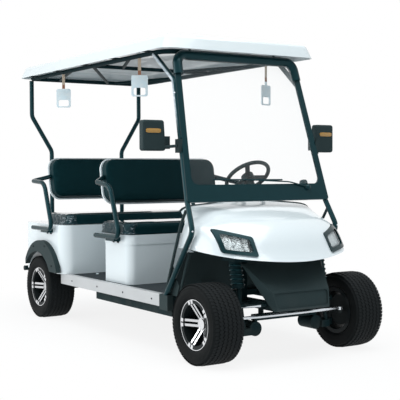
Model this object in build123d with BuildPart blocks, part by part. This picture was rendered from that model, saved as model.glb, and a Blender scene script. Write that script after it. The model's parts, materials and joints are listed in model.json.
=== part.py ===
"""Four-seat electric golf cart with a canopy, built piece by piece.

Millimetres.  +X points forward, +Y to the cart's left and +Z up; the ground is z = 0
and the origin is under the middle of the cart's length and width.
"""
from build123d import *
from math import atan2, cos, degrees, radians, sin, tan
import os

os.makedirs("parts", exist_ok=True)

# ------------------------------------------------------------------ whole cart
wheelbase = 2150
track = 1023                    # between the middle planes of the two wheels of an axle
tyre_diameter = 460
tyre_width = 205
overall_height = 1900
tail_overhang = 550             # rear axle to the bumper's rear face
seat_pitch = 880                # front seat to rear seat
tyre_radius = tyre_diameter / 2
front_x = (wheelbase + tail_overhang - tyre_radius) / 2
rear_x = front_x - wheelbase
tail_x = rear_x - tail_overhang
wheel_y = track / 2
touch_gap = 0.3                 # between curved faces of different moving pieces
running_gap = 0.08              # radial play of a shaft in its bore

# ------------------------------------------------------------------ wheels
bead_radius = 127
rim_width = 178
rim_lip_radius = 142
rim_wall = 9
spoke_pairs = 5
spoke_width = 14
spoke_slot = 13                 # between the two bars of a pair
spoke_root_out = 38             # outer face at the hub, from the wheel's middle plane
spoke_tip_out = 79              # outer face at the rim
spoke_root_radius = 36
spoke_depth = 21
hub_radius = 38
cap_radius = 31
cap_height = 5                  # cap past the hub's face
drum_radius = 86
drum_depth = 52
drum_outer_face = 14
spindle_radius = 15
spindle_reach = 26              # past the wheel's middle plane
backing_plate_radius = 92
backing_plate_thickness = 6
drum_to_plate_gap = 6

# ------------------------------------------------------------------ steering
kingpin_y = 375
kingpin_radius = 18
kingpin_low_z = 190
kingpin_high_z = 300
steering_arm_reach = 100        # tie rod ahead of the axle
steering_arm_y = kingpin_y      # parallel arms, so the linkage keeps its shape
steering_arm_z = 240
steering_arm_height = 16
tie_rod_radius = 9
tie_rod_pin_radius = 6
tie_rod_eye_radius = 15
tie_rod_eye_height = 18
steering_wheel_x = front_x - 712
steering_wheel_y = 280
steering_wheel_z = 1045
steering_wheel_diameter = 325
steering_rim_radius = 13
column_angle = 50               # above level
column_radius = 24
column_length = 462
steering_shaft_radius = 9
steering_shaft_length = 70
hub_to_column_gap = 6

# ------------------------------------------------------------------ chassis
floor_top = 352
floor_thickness = 12
floor_half_width = 552
floor_front = front_x - 447
rail_y = 170
rail_width = 50
rail_height = 45
rail_top = floor_top - floor_thickness
rail_front = front_x + 186
cross_width = 50
side_rail_y = 500
side_rail_width = 40
side_rail_low = 222
side_rail_high = 268
side_rail_front = front_x - 372
side_rail_rear = front_x - 1365
bumper_radius = 19
bumper_z = 320
bumper_half_width = 500
sill_outer_y = 560
sill_plate = 4
sill_low = 280
sill_front = floor_front
corner_piece_front = front_x - 352

# ------------------------------------------------------------------ front end
cowl_wall = 5
cowl_rear = front_x - 330
panel_top_z = 554
panel_knee_ahead = 197
panel_knee_z = 402
panel_knee_half = 206
panel_chin_ahead = 225
panel_chin_z = 305
panel_chin_half = 188
panel_low_z = 293
panel_top_half = 293
panel_low_half = 203
panel_wall = 8
panel_return = 9                # depth of the cheeks' rear lips
dash_half_width = 400
dash_wall = 6
dash_crown = 892                # top of the dash at its middle
dash_shoulder_z = 830           # and at its sides
toe_board_top_z = 604
toe_board_half = 490

# ------------------------------------------------------------------ screen and canopy
screen_foot_x = front_x - 183
screen_foot_z = 903
screen_lean = 16.2              # degrees back from upright
screen_foot_half = 527
screen_head_half = 462
screen_head_gap = 28            # head tube's middle under the roof's lower edge
screen_frame_side = 40
screen_head_radius = 30
head_tube_half = 437            # middle of the head tube's upright ends
screen_elbow_drop = 126
screen_elbow_flare = 8
screen_band = 104               # dark band along the foot
screen_thickness = 14
glass_thickness = 5
front_post_radius = 16
rail_tube_radius = 15
cross_bar_radius = 13
brace_radius = 11
canopy_frame_half = 478
head_tube_to_canopy = 18
rear_post_x = front_x - 2550
rear_post_radius = 17
rear_post_low_half = 313
rear_post_upper_bend_z = 1520
rear_post_lower_bend_z = 1250
roof_front = front_x - 350
roof_rear = front_x - 2588
roof_half_width = 575
roof_depth = 88
roof_low = overall_height - roof_depth
canopy_frame_z = roof_low
screen_head_z = roof_low - screen_head_gap
screen_head_x = screen_foot_x - (screen_head_z - screen_foot_z) * tan(radians(screen_lean))
canopy_frame_front = screen_head_x - screen_head_radius - rail_tube_radius - head_tube_to_canopy
roof_wall = 5
roof_corner = 80
roof_draft = 26

# ------------------------------------------------------------------ seats and body
box_wall = 5
front_box_front = front_x - 940
front_box_rear = front_x - 1288
front_box_half = 500
front_box_top = 674
rear_body_front = front_x - 1760
rear_body_rear = front_x - 2500
rear_body_half = 585
rear_body_top = 702
arch_radius = 262
arch_inner_y = 388
flare_radius = 313
flare_ahead = 57                # flare circle's middle ahead of the axle
flare_above = 37                # and above it
flare_outer_y = 622
flare_rear = front_x - 2362
flare_low = 362
cushion_height = 78
cushion_length = 400
cushion_half = 520
cushion_setback = 8             # cushion's front edge behind the front box's face
back_width = 904
back_height = 310
back_thickness = 62
back_lean = 10
back_shell = 14
front_back_x = front_x - 1398
front_back_z = 1019
arm_tube_radius = 16
front_arm_y = 540
rear_arm_y = 620


def name_and_write(builder, node):
    """Label a finished piece and write its STEP file."""
    builder.part.label = node
    export_step(builder.part, f"parts/{node}.step")


def bent_tube(points, bend_radii, tube_radius):
    """A round bar swept through the points."""
    with BuildPart() as tube:
        with BuildLine() as route:
            FilletPolyline(*points, radius=bend_radii)
        with BuildSketch(Plane(origin=route.line @ 0, z_dir=route.line % 0)):
            Circle(tube_radius)
        sweep(path=route.line)
    return tube.part


def straight_tube(start, end, tube_radius):
    """A round bar from start to end."""
    with BuildPart() as tube:
        with BuildLine() as route:
            Line(start, end)
        with BuildSketch(Plane(origin=route.line @ 0, z_dir=route.line % 0)):
            Circle(tube_radius)
        sweep(path=route.line)
    return tube.part


def box_between(low, high, mode=Mode.ADD):
    """A block given by its lowest and highest corners."""
    middle = [(a + b) / 2 for a, b in zip(low, high)]
    with Locations(tuple(middle)):
        Box(high[0] - low[0], high[1] - low[1], high[2] - low[2], mode=mode)


# ================================================================== wheels
wheel_places = (
    # name, axle x, side
    ("front_left", front_x, 1),
    ("front_right", front_x, -1),
    ("rear_left", rear_x, 1),
    ("rear_right", rear_x, -1),
)

tyre_section = (
    # distance from the middle plane, radius
    (-80, bead_radius),
    (-80, rim_lip_radius + 2),
    (-98, rim_lip_radius + 10),
    (-tyre_width / 2, bead_radius + 52),
    (-97, tyre_radius - 22),
    (-80, tyre_radius - 6),
    (-40, tyre_radius),
    (40, tyre_radius),
    (80, tyre_radius - 6),
    (97, tyre_radius - 22),
    (tyre_width / 2, bead_radius + 52),
    (98, rim_lip_radius + 10),
    (80, rim_lip_radius + 2),
    (80, bead_radius),
)

rim_half = rim_width / 2
rim_section = (
    # distance from the middle plane, radius
    (-rim_half, rim_lip_radius),
    (-rim_half + 8, rim_lip_radius),
    (-rim_half + 8, bead_radius),
    (rim_half - 8, bead_radius),
    (rim_half - 8, rim_lip_radius),
    (rim_half, rim_lip_radius),
    (rim_half - 2, bead_radius - rim_wall),
    (-rim_half, bead_radius - rim_wall),
)


def wheel_plane(axle_x, side):
    """Plane across the wheel's middle: x outwards along the axle, y up."""
    return Plane(
        origin=(axle_x, side * wheel_y, tyre_radius), x_dir=(0, side, 0), z_dir=(side, 0, 0)
    )


def face_plane(axle_x, side, out):
    """Plane square to the axle at a distance out from the wheel's middle plane."""
    return Plane(
        origin=(axle_x, side * (wheel_y + out), tyre_radius), x_dir=(1, 0, 0), z_dir=(0, side, 0)
    )


def spoke_bars(axle_x, side):
    """One pair of spoke bars pointing up, dished in from the rim to the hub."""
    tip_radius = bead_radius - rim_wall + 3
    inner_radius = spoke_root_radius - 8
    rise = (spoke_tip_out - spoke_root_out) / (tip_radius - spoke_root_radius)
    inner_out = spoke_root_out - rise * (spoke_root_radius - inner_radius)
    with BuildPart() as bars:
        for half in (-1, 1):
            middle = half * (spoke_slot + spoke_width) / 2
            with BuildSketch(wheel_plane(axle_x, side).offset(middle)):
                with BuildLine():
                    Polyline(
                        (inner_out, inner_radius),
                        (spoke_tip_out, tip_radius),
                        (spoke_tip_out - spoke_depth, tip_radius),
                        (max(inner_out - spoke_depth, drum_outer_face), inner_radius),
                        close=True,
                    )
                make_face()
            extrude(amount=spoke_width / 2, both=True)
    return bars.part


for wheel_name, axle_x, side in wheel_places:
    axle_line = Axis((axle_x, side * wheel_y, tyre_radius), (0, side, 0))

    with BuildPart() as tyre:
        with BuildSketch(wheel_plane(axle_x, side)):
            with BuildLine():
                Polyline(*tyre_section, close=True)
            make_face()
        revolve(axis=axle_line)
    name_and_write(tyre, f"tyre_{wheel_name}")

    with BuildPart() as rim:
        with BuildSketch(wheel_plane(axle_x, side)):
            with BuildLine():
                Polyline(*rim_section, close=True)
            make_face()
        revolve(axis=axle_line)
        with BuildSketch(face_plane(axle_x, side, drum_outer_face)):
            Circle(hub_radius)
        extrude(amount=spoke_root_out - drum_outer_face)
        with BuildSketch(face_plane(axle_x, side, spoke_root_out)):
            Circle(cap_radius)
        extrude(amount=cap_height)
        bars = spoke_bars(axle_x, side)
        for pair in range(spoke_pairs):
            add(bars.rotate(axle_line, -side * (90 + pair * 360 / spoke_pairs)))
        with BuildSketch(face_plane(axle_x, side, drum_outer_face)):
            Circle(spindle_radius + running_gap)
        extrude(amount=spindle_reach + 2 - drum_outer_face, mode=Mode.SUBTRACT)
    name_and_write(rim, f"rim_{wheel_name}")

    with BuildPart() as drum:
        with BuildSketch(face_plane(axle_x, side, drum_outer_face - drum_depth)):
            Circle(drum_radius)
        extrude(amount=drum_depth)
        with BuildSketch(face_plane(axle_x, side, drum_outer_face - drum_depth)):
            Circle(spindle_radius + running_gap)
        extrude(amount=drum_depth, mode=Mode.SUBTRACT)
    name_and_write(drum, f"drum_{wheel_name}")

plate_outer = drum_outer_face - drum_depth - drum_to_plate_gap
plate_inner = plate_outer - backing_plate_thickness

# ================================================================== knuckles and tie rod
for side_name, side in (("left", 1), ("right", -1)):
    with BuildPart() as knuckle:
        with BuildSketch(Plane.XY.offset(kingpin_low_z + touch_gap)):
            with Locations((front_x, side * kingpin_y)):
                Circle(kingpin_radius)
        extrude(amount=kingpin_high_z - kingpin_low_z - 2 * touch_gap)
        spindle_root = kingpin_y - wheel_y
        with BuildSketch(face_plane(front_x, side, spindle_root)):
            Circle(spindle_radius)
        extrude(amount=spindle_reach - spindle_root)
        with BuildSketch(face_plane(front_x, side, plate_inner)):
            Circle(backing_plate_radius)
        extrude(amount=backing_plate_thickness)
        arm_low = steering_arm_z - steering_arm_height / 2
        with BuildSketch(Plane.XY.offset(arm_low)):
            with BuildLine():
                Polyline(
                    (front_x - 10, side * (kingpin_y - 14)),
                    (front_x - 10, side * (kingpin_y + 14)),
                    (front_x + steering_arm_reach, side * (steering_arm_y + 11)),
                    (front_x + steering_arm_reach, side * (steering_arm_y - 11)),
                    close=True,
                )
            make_face()
            with Locations((front_x + steering_arm_reach, side * steering_arm_y)):
                Circle(tie_rod_eye_radius)
        extrude(amount=steering_arm_height)
        with BuildSketch(Plane.XY.offset(arm_low)):
            with Locations((front_x + steering_arm_reach, side * steering_arm_y)):
                Circle(tie_rod_pin_radius)
        extrude(amount=steering_arm_height + tie_rod_eye_height + 6)
    name_and_write(knuckle, f"knuckle_{side_name}")

tie_rod_low = steering_arm_z + steering_arm_height / 2 + touch_gap
tie_rod_z = tie_rod_low + tie_rod_eye_height / 2
with BuildPart() as tie_rod:
    with BuildSketch(Plane.XY.offset(tie_rod_low)):
        with Locations(
            (front_x + steering_arm_reach, steering_arm_y),
            (front_x + steering_arm_reach, -steering_arm_y),
        ):
            Circle(tie_rod_eye_radius)
    extrude(amount=tie_rod_eye_height)
    add(straight_tube(
        (front_x + steering_arm_reach, -steering_arm_y, tie_rod_z),
        (front_x + steering_arm_reach, steering_arm_y, tie_rod_z),
        tie_rod_radius,
    ))
    with BuildSketch(Plane.XY.offset(tie_rod_low)):
        with Locations(
            (front_x + steering_arm_reach, steering_arm_y),
            (front_x + steering_arm_reach, -steering_arm_y),
        ):
            Circle(tie_rod_pin_radius + running_gap)
    extrude(amount=tie_rod_eye_height, mode=Mode.SUBTRACT)
name_and_write(tie_rod, "tie_rod")

# ================================================================== steering wheel and column
column_dir = (-cos(radians(column_angle)), 0, sin(radians(column_angle)))
steering_centre = (steering_wheel_x, steering_wheel_y, steering_wheel_z)


def along_column(distance):
    """Point on the column's line, measured down from the steering wheel's centre."""
    return tuple(c - distance * d for c, d in zip(steering_centre, column_dir))


def column_plane(distance):
    """Plane square to the column, facing up towards the driver."""
    return Plane(origin=along_column(distance), x_dir=(0, 1, 0), z_dir=column_dir)


steering_hub_radius = 42
steering_hub_depth = 44
steering_spoke_width = 30
steering_rim_centre = steering_wheel_diameter / 2 - steering_rim_radius
with BuildPart() as steering_wheel:
    rim_plane = Plane(
        origin=steering_centre,
        x_dir=(0, 1, 0),
        z_dir=(sin(radians(column_angle)), 0, cos(radians(column_angle))),
    )
    with BuildSketch(rim_plane):
        with Locations((steering_rim_centre, 0)):
            Circle(steering_rim_radius)
    revolve(axis=Axis(steering_centre, column_dir))
    with BuildSketch(column_plane(steering_hub_depth - 12)):
        Circle(steering_hub_radius)
    extrude(amount=steering_hub_depth)
    with BuildSketch(column_plane(7)):
        for angle in (90, 210, 330):
            middle = steering_rim_centre / 2
            spot = (middle * sin(radians(angle)), middle * cos(radians(angle)))
            with Locations(Location(spot, -angle)):
                Rectangle(steering_spoke_width, steering_rim_centre - steering_rim_radius / 2)
    extrude(amount=9)
    with BuildSketch(column_plane(steering_hub_depth - 12 + steering_shaft_length)):
        Circle(steering_shaft_radius)
    extrude(amount=steering_shaft_length)
name_and_write(steering_wheel, "steering_wheel")

column_top = steering_hub_depth - 12 + hub_to_column_gap
with BuildPart() as steering_column:
    with BuildSketch(column_plane(column_top + column_length)):
        Circle(column_radius)
    extrude(amount=column_length)
    with BuildSketch(column_plane(column_top + steering_shaft_length)):
        Circle(steering_shaft_radius + running_gap)
    extrude(amount=steering_shaft_length, mode=Mode.SUBTRACT)
name_and_write(steering_column, "steering_column")

# ================================================================== frame
cross_members = (
    # distance behind the front axle, half length
    (-125, rail_y),
    (430, side_rail_y),
    (900, side_rail_y),
    (1330, side_rail_y),
    (1740, side_rail_y),
    (2545, rear_post_low_half + 40),
)
axle_beam_rear = front_x + 20
axle_beam_front = front_x + 62
axle_beam_low = 228
axle_beam_high = 262
axle_beam_half = 225
beam_hanger = 8
pivot_y = 222
pivot_z = 182
pivot_radius = 42
pivot_rear = front_x - 60
tower_x = front_x - 78
tower_y = 215
tower_width = 40
tower_top = 590
tower_arm_y = 346
tower_plate = 22
with BuildPart() as frame:
    for side in (-1, 1):
        box_between(
            (tail_x + bumper_radius, side * rail_y - rail_width / 2, rail_top - rail_height),
            (rail_front, side * rail_y + rail_width / 2, rail_top),
        )
        box_between(
            (side_rail_rear, side * side_rail_y - side_rail_width / 2, side_rail_low),
            (side_rail_front, side * side_rail_y + side_rail_width / 2, side_rail_high),
        )
        for drop_x in (front_x - 430, front_x - 900, front_x - 1330):
            box_between(
                (drop_x - cross_width / 2, side * side_rail_y - side_rail_width / 2, side_rail_low),
                (drop_x + cross_width / 2, side * side_rail_y + side_rail_width / 2, rail_top),
            )
        box_between(
            (tower_x - tower_width / 2, side * tower_y - tower_width / 2, rail_top - rail_height),
            (tower_x + tower_width / 2, side * tower_y + tower_width / 2, tower_top),
        )
        tower_sides = sorted((side * (tower_y - tower_width / 2), side * tower_arm_y))
        box_between(
            (tower_x - tower_width / 2, tower_sides[0], tower_top - tower_plate),
            (front_x + 30, tower_sides[1], tower_top),
        )
    for behind, half_length in cross_members:
        member_x = front_x - behind
        box_between(
            (member_x - cross_width / 2, -half_length, rail_top - rail_height + 10),
            (member_x + cross_width / 2, half_length, rail_top),
        )
    box_between(
        (axle_beam_rear, -axle_beam_half, axle_beam_low),
        (axle_beam_front, axle_beam_half, axle_beam_high),
    )
    for side in (-1, 1):
        for hanger_y, hanger_low, hanger_high in (
            (rail_y, axle_beam_low, rail_top),
            (pivot_y - beam_hanger, pivot_z, axle_beam_high),
        ):
            box_between(
                (axle_beam_rear, side * hanger_y - beam_hanger / 2, hanger_low),
                (axle_beam_front, side * hanger_y + beam_hanger / 2, hanger_high),
            )
        add(straight_tube(
            (pivot_rear, side * pivot_y, pivot_z),
            (axle_beam_front, side * pivot_y, pivot_z),
            pivot_radius,
        ))
    add(straight_tube(
        (tail_x + bumper_radius, -bumper_half_width, bumper_z),
        (tail_x + bumper_radius, bumper_half_width, bumper_z),
        bumper_radius,
    ))
name_and_write(frame, "frame")

# ================================================================== front suspension
lower_arm_low = 150
lower_arm_inner_y = pivot_y + pivot_radius - 6
upper_ball_height = 24
upper_arm_radius = 11
shock_top = (front_x - 32, 306, 568)
shock_foot = (front_x + 58, 303, kingpin_low_z - 10)
shock_radius = 13
spring_radius = 36
spring_share = 0.43             # how much of the shock the spring covers
with BuildPart() as front_suspension:
    for side in (-1, 1):
        with BuildSketch(Plane.XY.offset(lower_arm_low)):
            with BuildLine():
                Polyline(
                    (front_x - 60, side * lower_arm_inner_y),
                    (front_x - 18, side * kingpin_y),
                    (front_x + 18, side * kingpin_y),
                    (front_x + 74, side * 318),
                    (front_x + 74, side * lower_arm_inner_y),
                    close=True,
                )
            make_face()
            with Locations((front_x, side * kingpin_y)):
                Circle(kingpin_radius + 3)
        extrude(amount=kingpin_low_z - lower_arm_low)
        add(straight_tube(
            (pivot_rear, side * pivot_y, pivot_z),
            (axle_beam_front, side * pivot_y, pivot_z),
            pivot_radius,
        ), mode=Mode.SUBTRACT)
        with BuildSketch(Plane.XY.offset(kingpin_high_z)):
            with Locations((front_x, side * kingpin_y)):
                Circle(kingpin_radius + 3)
        extrude(amount=upper_ball_height)
        arm_z = kingpin_high_z + upper_ball_height / 2
        for ball_x, inner_x in ((-10, -36), (14, 128)):
            add(straight_tube(
                (front_x + ball_x, side * (kingpin_y - 8), arm_z),
                (front_x + inner_x, side * (rail_y + rail_width / 2), rail_top - 14),
                upper_arm_radius,
            ))
        top = (shock_top[0], side * shock_top[1], shock_top[2] + 20)
        foot = (shock_foot[0], side * shock_foot[1], shock_foot[2])
        spring_end = tuple(t + spring_share * (f - t) for t, f in zip(top, foot))
        add(straight_tube(top, foot, shock_radius))
        add(straight_tube(top, spring_end, spring_radius))
    split(bisect_by=Plane.XY.offset(tower_top - tower_plate), keep=Keep.BOTTOM)
    for side in (-1, 1):
        box_between(
            (front_x - 200, side * rail_y - rail_width / 2, rail_top - rail_height),
            (rail_front, side * rail_y + rail_width / 2, rail_top),
            mode=Mode.SUBTRACT,
        )
name_and_write(front_suspension, "front_suspension")

# ================================================================== rear axle and springs
axle_tube_radius = 30
axle_end_y = wheel_y + plate_inner
case_radius = 82
case_half_width = 88
motor_radius = 78
motor_length = 250
spring_y = 300
spring_half_length = 360
spring_thickness = 24
spring_width = 45
spring_rise = 52
with BuildPart() as rear_axle:
    with BuildSketch(Plane.XZ.offset(-axle_end_y)):
        with Locations((rear_x, tyre_radius)):
            Circle(axle_tube_radius)
    extrude(amount=2 * axle_end_y)
    with BuildSketch(Plane.XZ.offset(-case_half_width)):
        with Locations((rear_x, tyre_radius)):
            Circle(case_radius)
    extrude(amount=2 * case_half_width)
    for side in (-1, 1):
        with BuildSketch(face_plane(rear_x, side, plate_inner)):
            Circle(backing_plate_radius)
        extrude(amount=backing_plate_thickness)
        with BuildSketch(face_plane(rear_x, side, plate_inner)):
            Circle(spindle_radius)
        extrude(amount=spindle_reach - plate_inner)
    with BuildSketch(Plane.YZ.offset(rear_x)):
        with Locations((0, tyre_radius - 4)):
            Circle(motor_radius)
    extrude(amount=case_radius + motor_length)
name_and_write(rear_axle, "rear_axle")

with BuildPart() as rear_springs:
    spring_low = tyre_radius + axle_tube_radius
    for side in (-1, 1):
        with BuildSketch(Plane.XZ.offset(-side * spring_y)):
            with BuildLine():
                lower = ThreePointArc(
                    (rear_x - spring_half_length, spring_low + spring_rise),
                    (rear_x, spring_low),
                    (rear_x + spring_half_length, spring_low + spring_rise),
                )
                upper = ThreePointArc(
                    (rear_x - spring_half_length, spring_low + spring_rise + spring_thickness),
                    (rear_x, spring_low + spring_thickness),
                    (rear_x + spring_half_length, spring_low + spring_rise + spring_thickness),
                )
                Line(lower @ 0, upper @ 0)
                Line(lower @ 1, upper @ 1)
            make_face()
        extrude(amount=spring_width / 2, both=True)
        for end in (-1, 1):
            eye_x = rear_x + end * (spring_half_length - 20)
            ends = sorted((side * rail_y + side * rail_width / 2, side * (spring_y + spring_width / 2)))
            box_between(
                (eye_x - 25, ends[0], spring_low + spring_rise - 5),
                (eye_x + 25, ends[1], rail_top),
            )
name_and_write(rear_springs, "rear_springs")

# ================================================================== floor, sills and corner pieces
with BuildPart() as floor_pan:
    box_between(
        (rear_body_front - 90, -floor_half_width, rail_top),
        (floor_front, floor_half_width, floor_top),
    )
name_and_write(floor_pan, "floor_pan")

sill_flange = 34
with BuildPart() as sill_plates:
    for side in (-1, 1):
        sides = sorted((side * (sill_outer_y - sill_plate), side * sill_outer_y))
        box_between((rear_body_front - 90, sides[0], sill_low), (sill_front, sides[1], floor_top))
        tops = sorted((side * (sill_outer_y - sill_flange), side * sill_outer_y))
        box_between((rear_body_front + 10, tops[0], floor_top), (sill_front, tops[1], floor_top + 3))
name_and_write(sill_plates, "sill_plates")

# ================================================================== front posts and stays
post_foot_y = 549
post_knee = (front_x - 113, 535, 738)
post_screen_foot = (front_x - 200, 515, 905)
post_head_drop = 157             # upper bend under the head tube
post_head_behind = 20            # and behind the screen
post_head_z = screen_head_z - post_head_drop
post_screen_head = (
    screen_foot_x - (post_head_z - screen_foot_z) * tan(radians(screen_lean)) - post_head_behind,
    469,
    post_head_z,
)
post_foot = (front_x - 400, post_foot_y, 335)
post_tip = (canopy_frame_front - 130, canopy_frame_half, canopy_frame_z - 9)
with BuildPart() as front_posts:
    add(bent_tube(
        (post_tip, post_screen_head, post_screen_foot, post_knee, post_foot),
        (70, 60, 60),
        front_post_radius,
    ))
    split(bisect_by=Plane.XY.offset(floor_top), keep=Keep.TOP)
    mirror(about=Plane.XZ)
name_and_write(front_posts, "front_posts")

stay_y = 532
stay_radius = 9
brace_bar = 11
with BuildPart() as side_stays:
    add(bent_tube(
        (
            (front_x - 190, stay_y, 856),
            (front_x - 245, stay_y, 775),
            (front_x - 428, stay_y, 340),
        ),
        40,
        stay_radius,
    ))
    add(straight_tube((front_x - 192, stay_y - 24, 612), (front_x - 302, stay_y - 24, 340), brace_bar))
    with BuildSketch(Plane.XZ.offset(-stay_y + 5)):
        with BuildLine():
            Polyline(
                (front_x - 425, floor_top),
                (front_x - 300, floor_top),
                (front_x - 275, 410),
                (front_x - 348, 525),
                close=True,
            )
        make_face()
    extrude(amount=6)
    box_between(
        (sill_front, side_rail_y + side_rail_width / 2 + 2, 262),
        (corner_piece_front, sill_outer_y + 2, floor_top),
    )
    split(bisect_by=Plane.XY.offset(262), keep=Keep.TOP)
    mirror(about=Plane.XZ)
    add(front_posts.part, mode=Mode.SUBTRACT)
name_and_write(side_stays, "side_stays")

# ================================================================== cowl, lamps and front panel
cowl_sections = (
    # height, nose, shoulder ahead of the axle, shoulder out, side out
    (520, 240, 165, 370, 513),
    (590, 200, 125, 370, 513),
    (650, 158, 83, 370, 513),
    (710, 115, 39, 371, 512),
    (756, 66, -12, 368, 509),
    (800, 0, -58, 305, 505),
    (832, -80, -121, 282, 497),
    (860, -163, -207, 322, 478),
    (884, -250, -285, 256, 390),
    (903, -330, -340, 178, 270),
    (916, -404, -414, 120, 200),
)
cowl_edge = (
    # ahead of the axle, height: the lower edge seen from the side
    (262, 554),
    (-30, 621),
    (-312, 634),
)
cowl_ear = (
    # ahead of the axle, height: the slanted rear edge of each side
    (-245, 775),
    (-312, 618),
    (-312, 400),
    (-420, 400),
    (-420, 846),
    (-331, 846),
    (-262, 800),
)
cowl_form_rear = front_x - 560


def cowl_form(inset):
    """The cowl's closed form, drawn in by inset; it runs on past the cowl's open rear."""
    with BuildPart() as form:
        for height, nose, shoulder_x, shoulder_y, side_y in cowl_sections:
            turn = 2 * atan2(nose - shoulder_x, shoulder_y)
            corner_x = shoulder_x - (side_y - shoulder_y) * tan((turn + radians(90)) / 2)
            with BuildSketch(Plane.XY.offset(height - inset * 0.6)):
                with BuildLine():
                    front_arc = ThreePointArc(
                        (front_x + shoulder_x - inset, -shoulder_y + inset / 2),
                        (front_x + nose - inset, 0),
                        (front_x + shoulder_x - inset, shoulder_y - inset / 2),
                    )
                    corner = (front_x + corner_x, side_y - inset)
                    left = TangentArc(front_arc @ 1, corner, tangent=front_arc % 1)
                    right = TangentArc(
                        front_arc @ 0, (corner[0], -corner[1]), tangent=-(front_arc % 0)
                    )
                    Line(left @ 1, (cowl_form_rear, corner[1]))
                    Line(right @ 1, (cowl_form_rear, -corner[1]))
                    Line((cowl_form_rear, corner[1]), (cowl_form_rear, -corner[1]))
                make_face()
        loft()
    return form.part


def outside_cowl():
    """Everything under the cowl's lower edge and behind its rear edges."""
    with BuildPart() as away:
        with BuildSketch(Plane.XZ.offset(-600)):
            with BuildLine():
                ThreePointArc(*[(front_x + ahead, z) for ahead, z in cowl_edge])
                Polyline(
                    (front_x + cowl_edge[-1][0], cowl_edge[-1][1]),
                    (front_x + cowl_edge[-1][0], 400),
                    (front_x + cowl_edge[0][0], 400),
                    (front_x + cowl_edge[0][0], cowl_edge[0][1]),
                )
            make_face()
        extrude(amount=1200)
        with BuildSketch(Plane.XZ.offset(-600)):
            with BuildLine():
                Polyline(*[(front_x + ahead, z) for ahead, z in cowl_ear], close=True)
            make_face()
        extrude(amount=1200)
        box_between((cowl_form_rear - 20, -600, 400), (cowl_rear, 600, 1000))
    return away.part


lamp_corners = (
    # out from the middle, height
    (266, 602),
    (262, 711),
    (452, 761),
    (447, 627),
)
lamp_bezel = 20
lamp_proud = 6
lamp_corner_radius = 14


def lamp_shaft(inset):
    """Straight shafts along X with the lamps' outline, on both sides."""
    with BuildPart() as shaft:
        for side in (-1, 1):
            with BuildSketch(Plane.YZ.offset(front_x - 190)):
                with BuildLine():
                    Polyline(*[(side * y, z) for y, z in lamp_corners], close=True)
                make_face()
                offset(amount=-inset, kind=Kind.INTERSECTION)
                fillet(vertices(), lamp_corner_radius)
            extrude(amount=480)
    return shaft.part


cowl_outer = cowl_form(0)
cowl_inner = cowl_form(cowl_wall)
cowl_outside = outside_cowl()
lamp_outline = lamp_shaft(0)
lamp_window = lamp_shaft(lamp_bezel)
with BuildPart() as front_cowl:
    add(cowl_outer)
    add(cowl_inner, mode=Mode.SUBTRACT)
    add(cowl_outside, mode=Mode.SUBTRACT)
    add(lamp_outline, mode=Mode.SUBTRACT)
name_and_write(front_cowl, "front_cowl")

with BuildPart() as lamp_bezels:
    add(cowl_form(-lamp_proud))
    add(cowl_form(22), mode=Mode.SUBTRACT)
    add(lamp_outline, mode=Mode.INTERSECT)
    add(lamp_window, mode=Mode.SUBTRACT)
name_and_write(lamp_bezels, "lamp_bezels")

with BuildPart() as lamp_lenses:
    add(cowl_form(3))
    add(cowl_form(9), mode=Mode.SUBTRACT)
    add(lamp_window, mode=Mode.INTERSECT)
name_and_write(lamp_lenses, "lamp_lenses")

recess_inset = 10
recess_depth = 7
recess_corner = 16


panel_sections = (
    # height, edge ahead of the axle, edge out, face ahead, face out
    (panel_top_z, 24, panel_top_half, 27, panel_top_half - 12),
    (panel_knee_z, 131, 240, panel_knee_ahead, panel_knee_half),
    (panel_chin_z, 202, 206, panel_chin_ahead, panel_chin_half),
    (panel_low_z, 208, panel_low_half, panel_chin_ahead - 11, panel_chin_half - 4),
)


def panel_form(inset, low, behind):
    """The panel's closed form with slanted cheeks, drawn in by inset and cut off at low."""
    with BuildPart() as form:
        for height, edge_ahead, edge_half, face_ahead, face_half in panel_sections:
            with BuildSketch(Plane.XY.offset(height)):
                with BuildLine():
                    Polyline(
                        (front_x + edge_ahead - behind, -edge_half + inset),
                        (front_x + edge_ahead - inset, -edge_half + inset),
                        (front_x + face_ahead - inset, -face_half + inset),
                        (front_x + face_ahead - inset, face_half - inset),
                        (front_x + edge_ahead - inset, edge_half - inset),
                        (front_x + edge_ahead - behind, edge_half - inset),
                        close=True,
                    )
                make_face()
        loft(ruled=True)
        split(bisect_by=Plane.XY.offset(low), keep=Keep.TOP)
    return form.part


face_rise = panel_knee_z - panel_chin_z
face_run = panel_chin_ahead - panel_knee_ahead
face_normal = Vector(face_rise, 0, face_run).normalized()
face_middle = (
    front_x + (panel_knee_ahead + panel_chin_ahead) / 2, 0, (panel_knee_z + panel_chin_z) / 2
)
with BuildPart() as front_panel:
    add(panel_form(0, panel_low_z, panel_return))
    add(panel_form(panel_wall, panel_low_z + panel_wall, 200), mode=Mode.SUBTRACT)
    with BuildSketch(Plane(origin=face_middle, x_dir=(0, 1, 0), z_dir=face_normal)):
        with BuildLine():
            Polyline(
                (-panel_knee_half + recess_inset, face_rise / 2 - recess_inset / 2),
                (panel_knee_half - recess_inset, face_rise / 2 - recess_inset / 2),
                (panel_chin_half - recess_inset, -face_rise / 2 + recess_inset / 2),
                (-panel_chin_half + recess_inset, -face_rise / 2 + recess_inset / 2),
                close=True,
            )
        make_face()
        fillet(vertices(), recess_corner)
    extrude(amount=-recess_depth, mode=Mode.SUBTRACT)
name_and_write(front_panel, "front_panel")

# ================================================================== dashboard and toe board
dash_front = 334
dash_profile = (
    # behind the front axle, height
    (dash_front, 940),
    (400, 940),
    (414, 800),
    (400, 622),
    (310, toe_board_top_z),
    (300, toe_board_top_z),
    (dash_front, 700),
)
seal_height = 8
seal_depth = 6
seal_inside = 30
seal_low = 848


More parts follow.
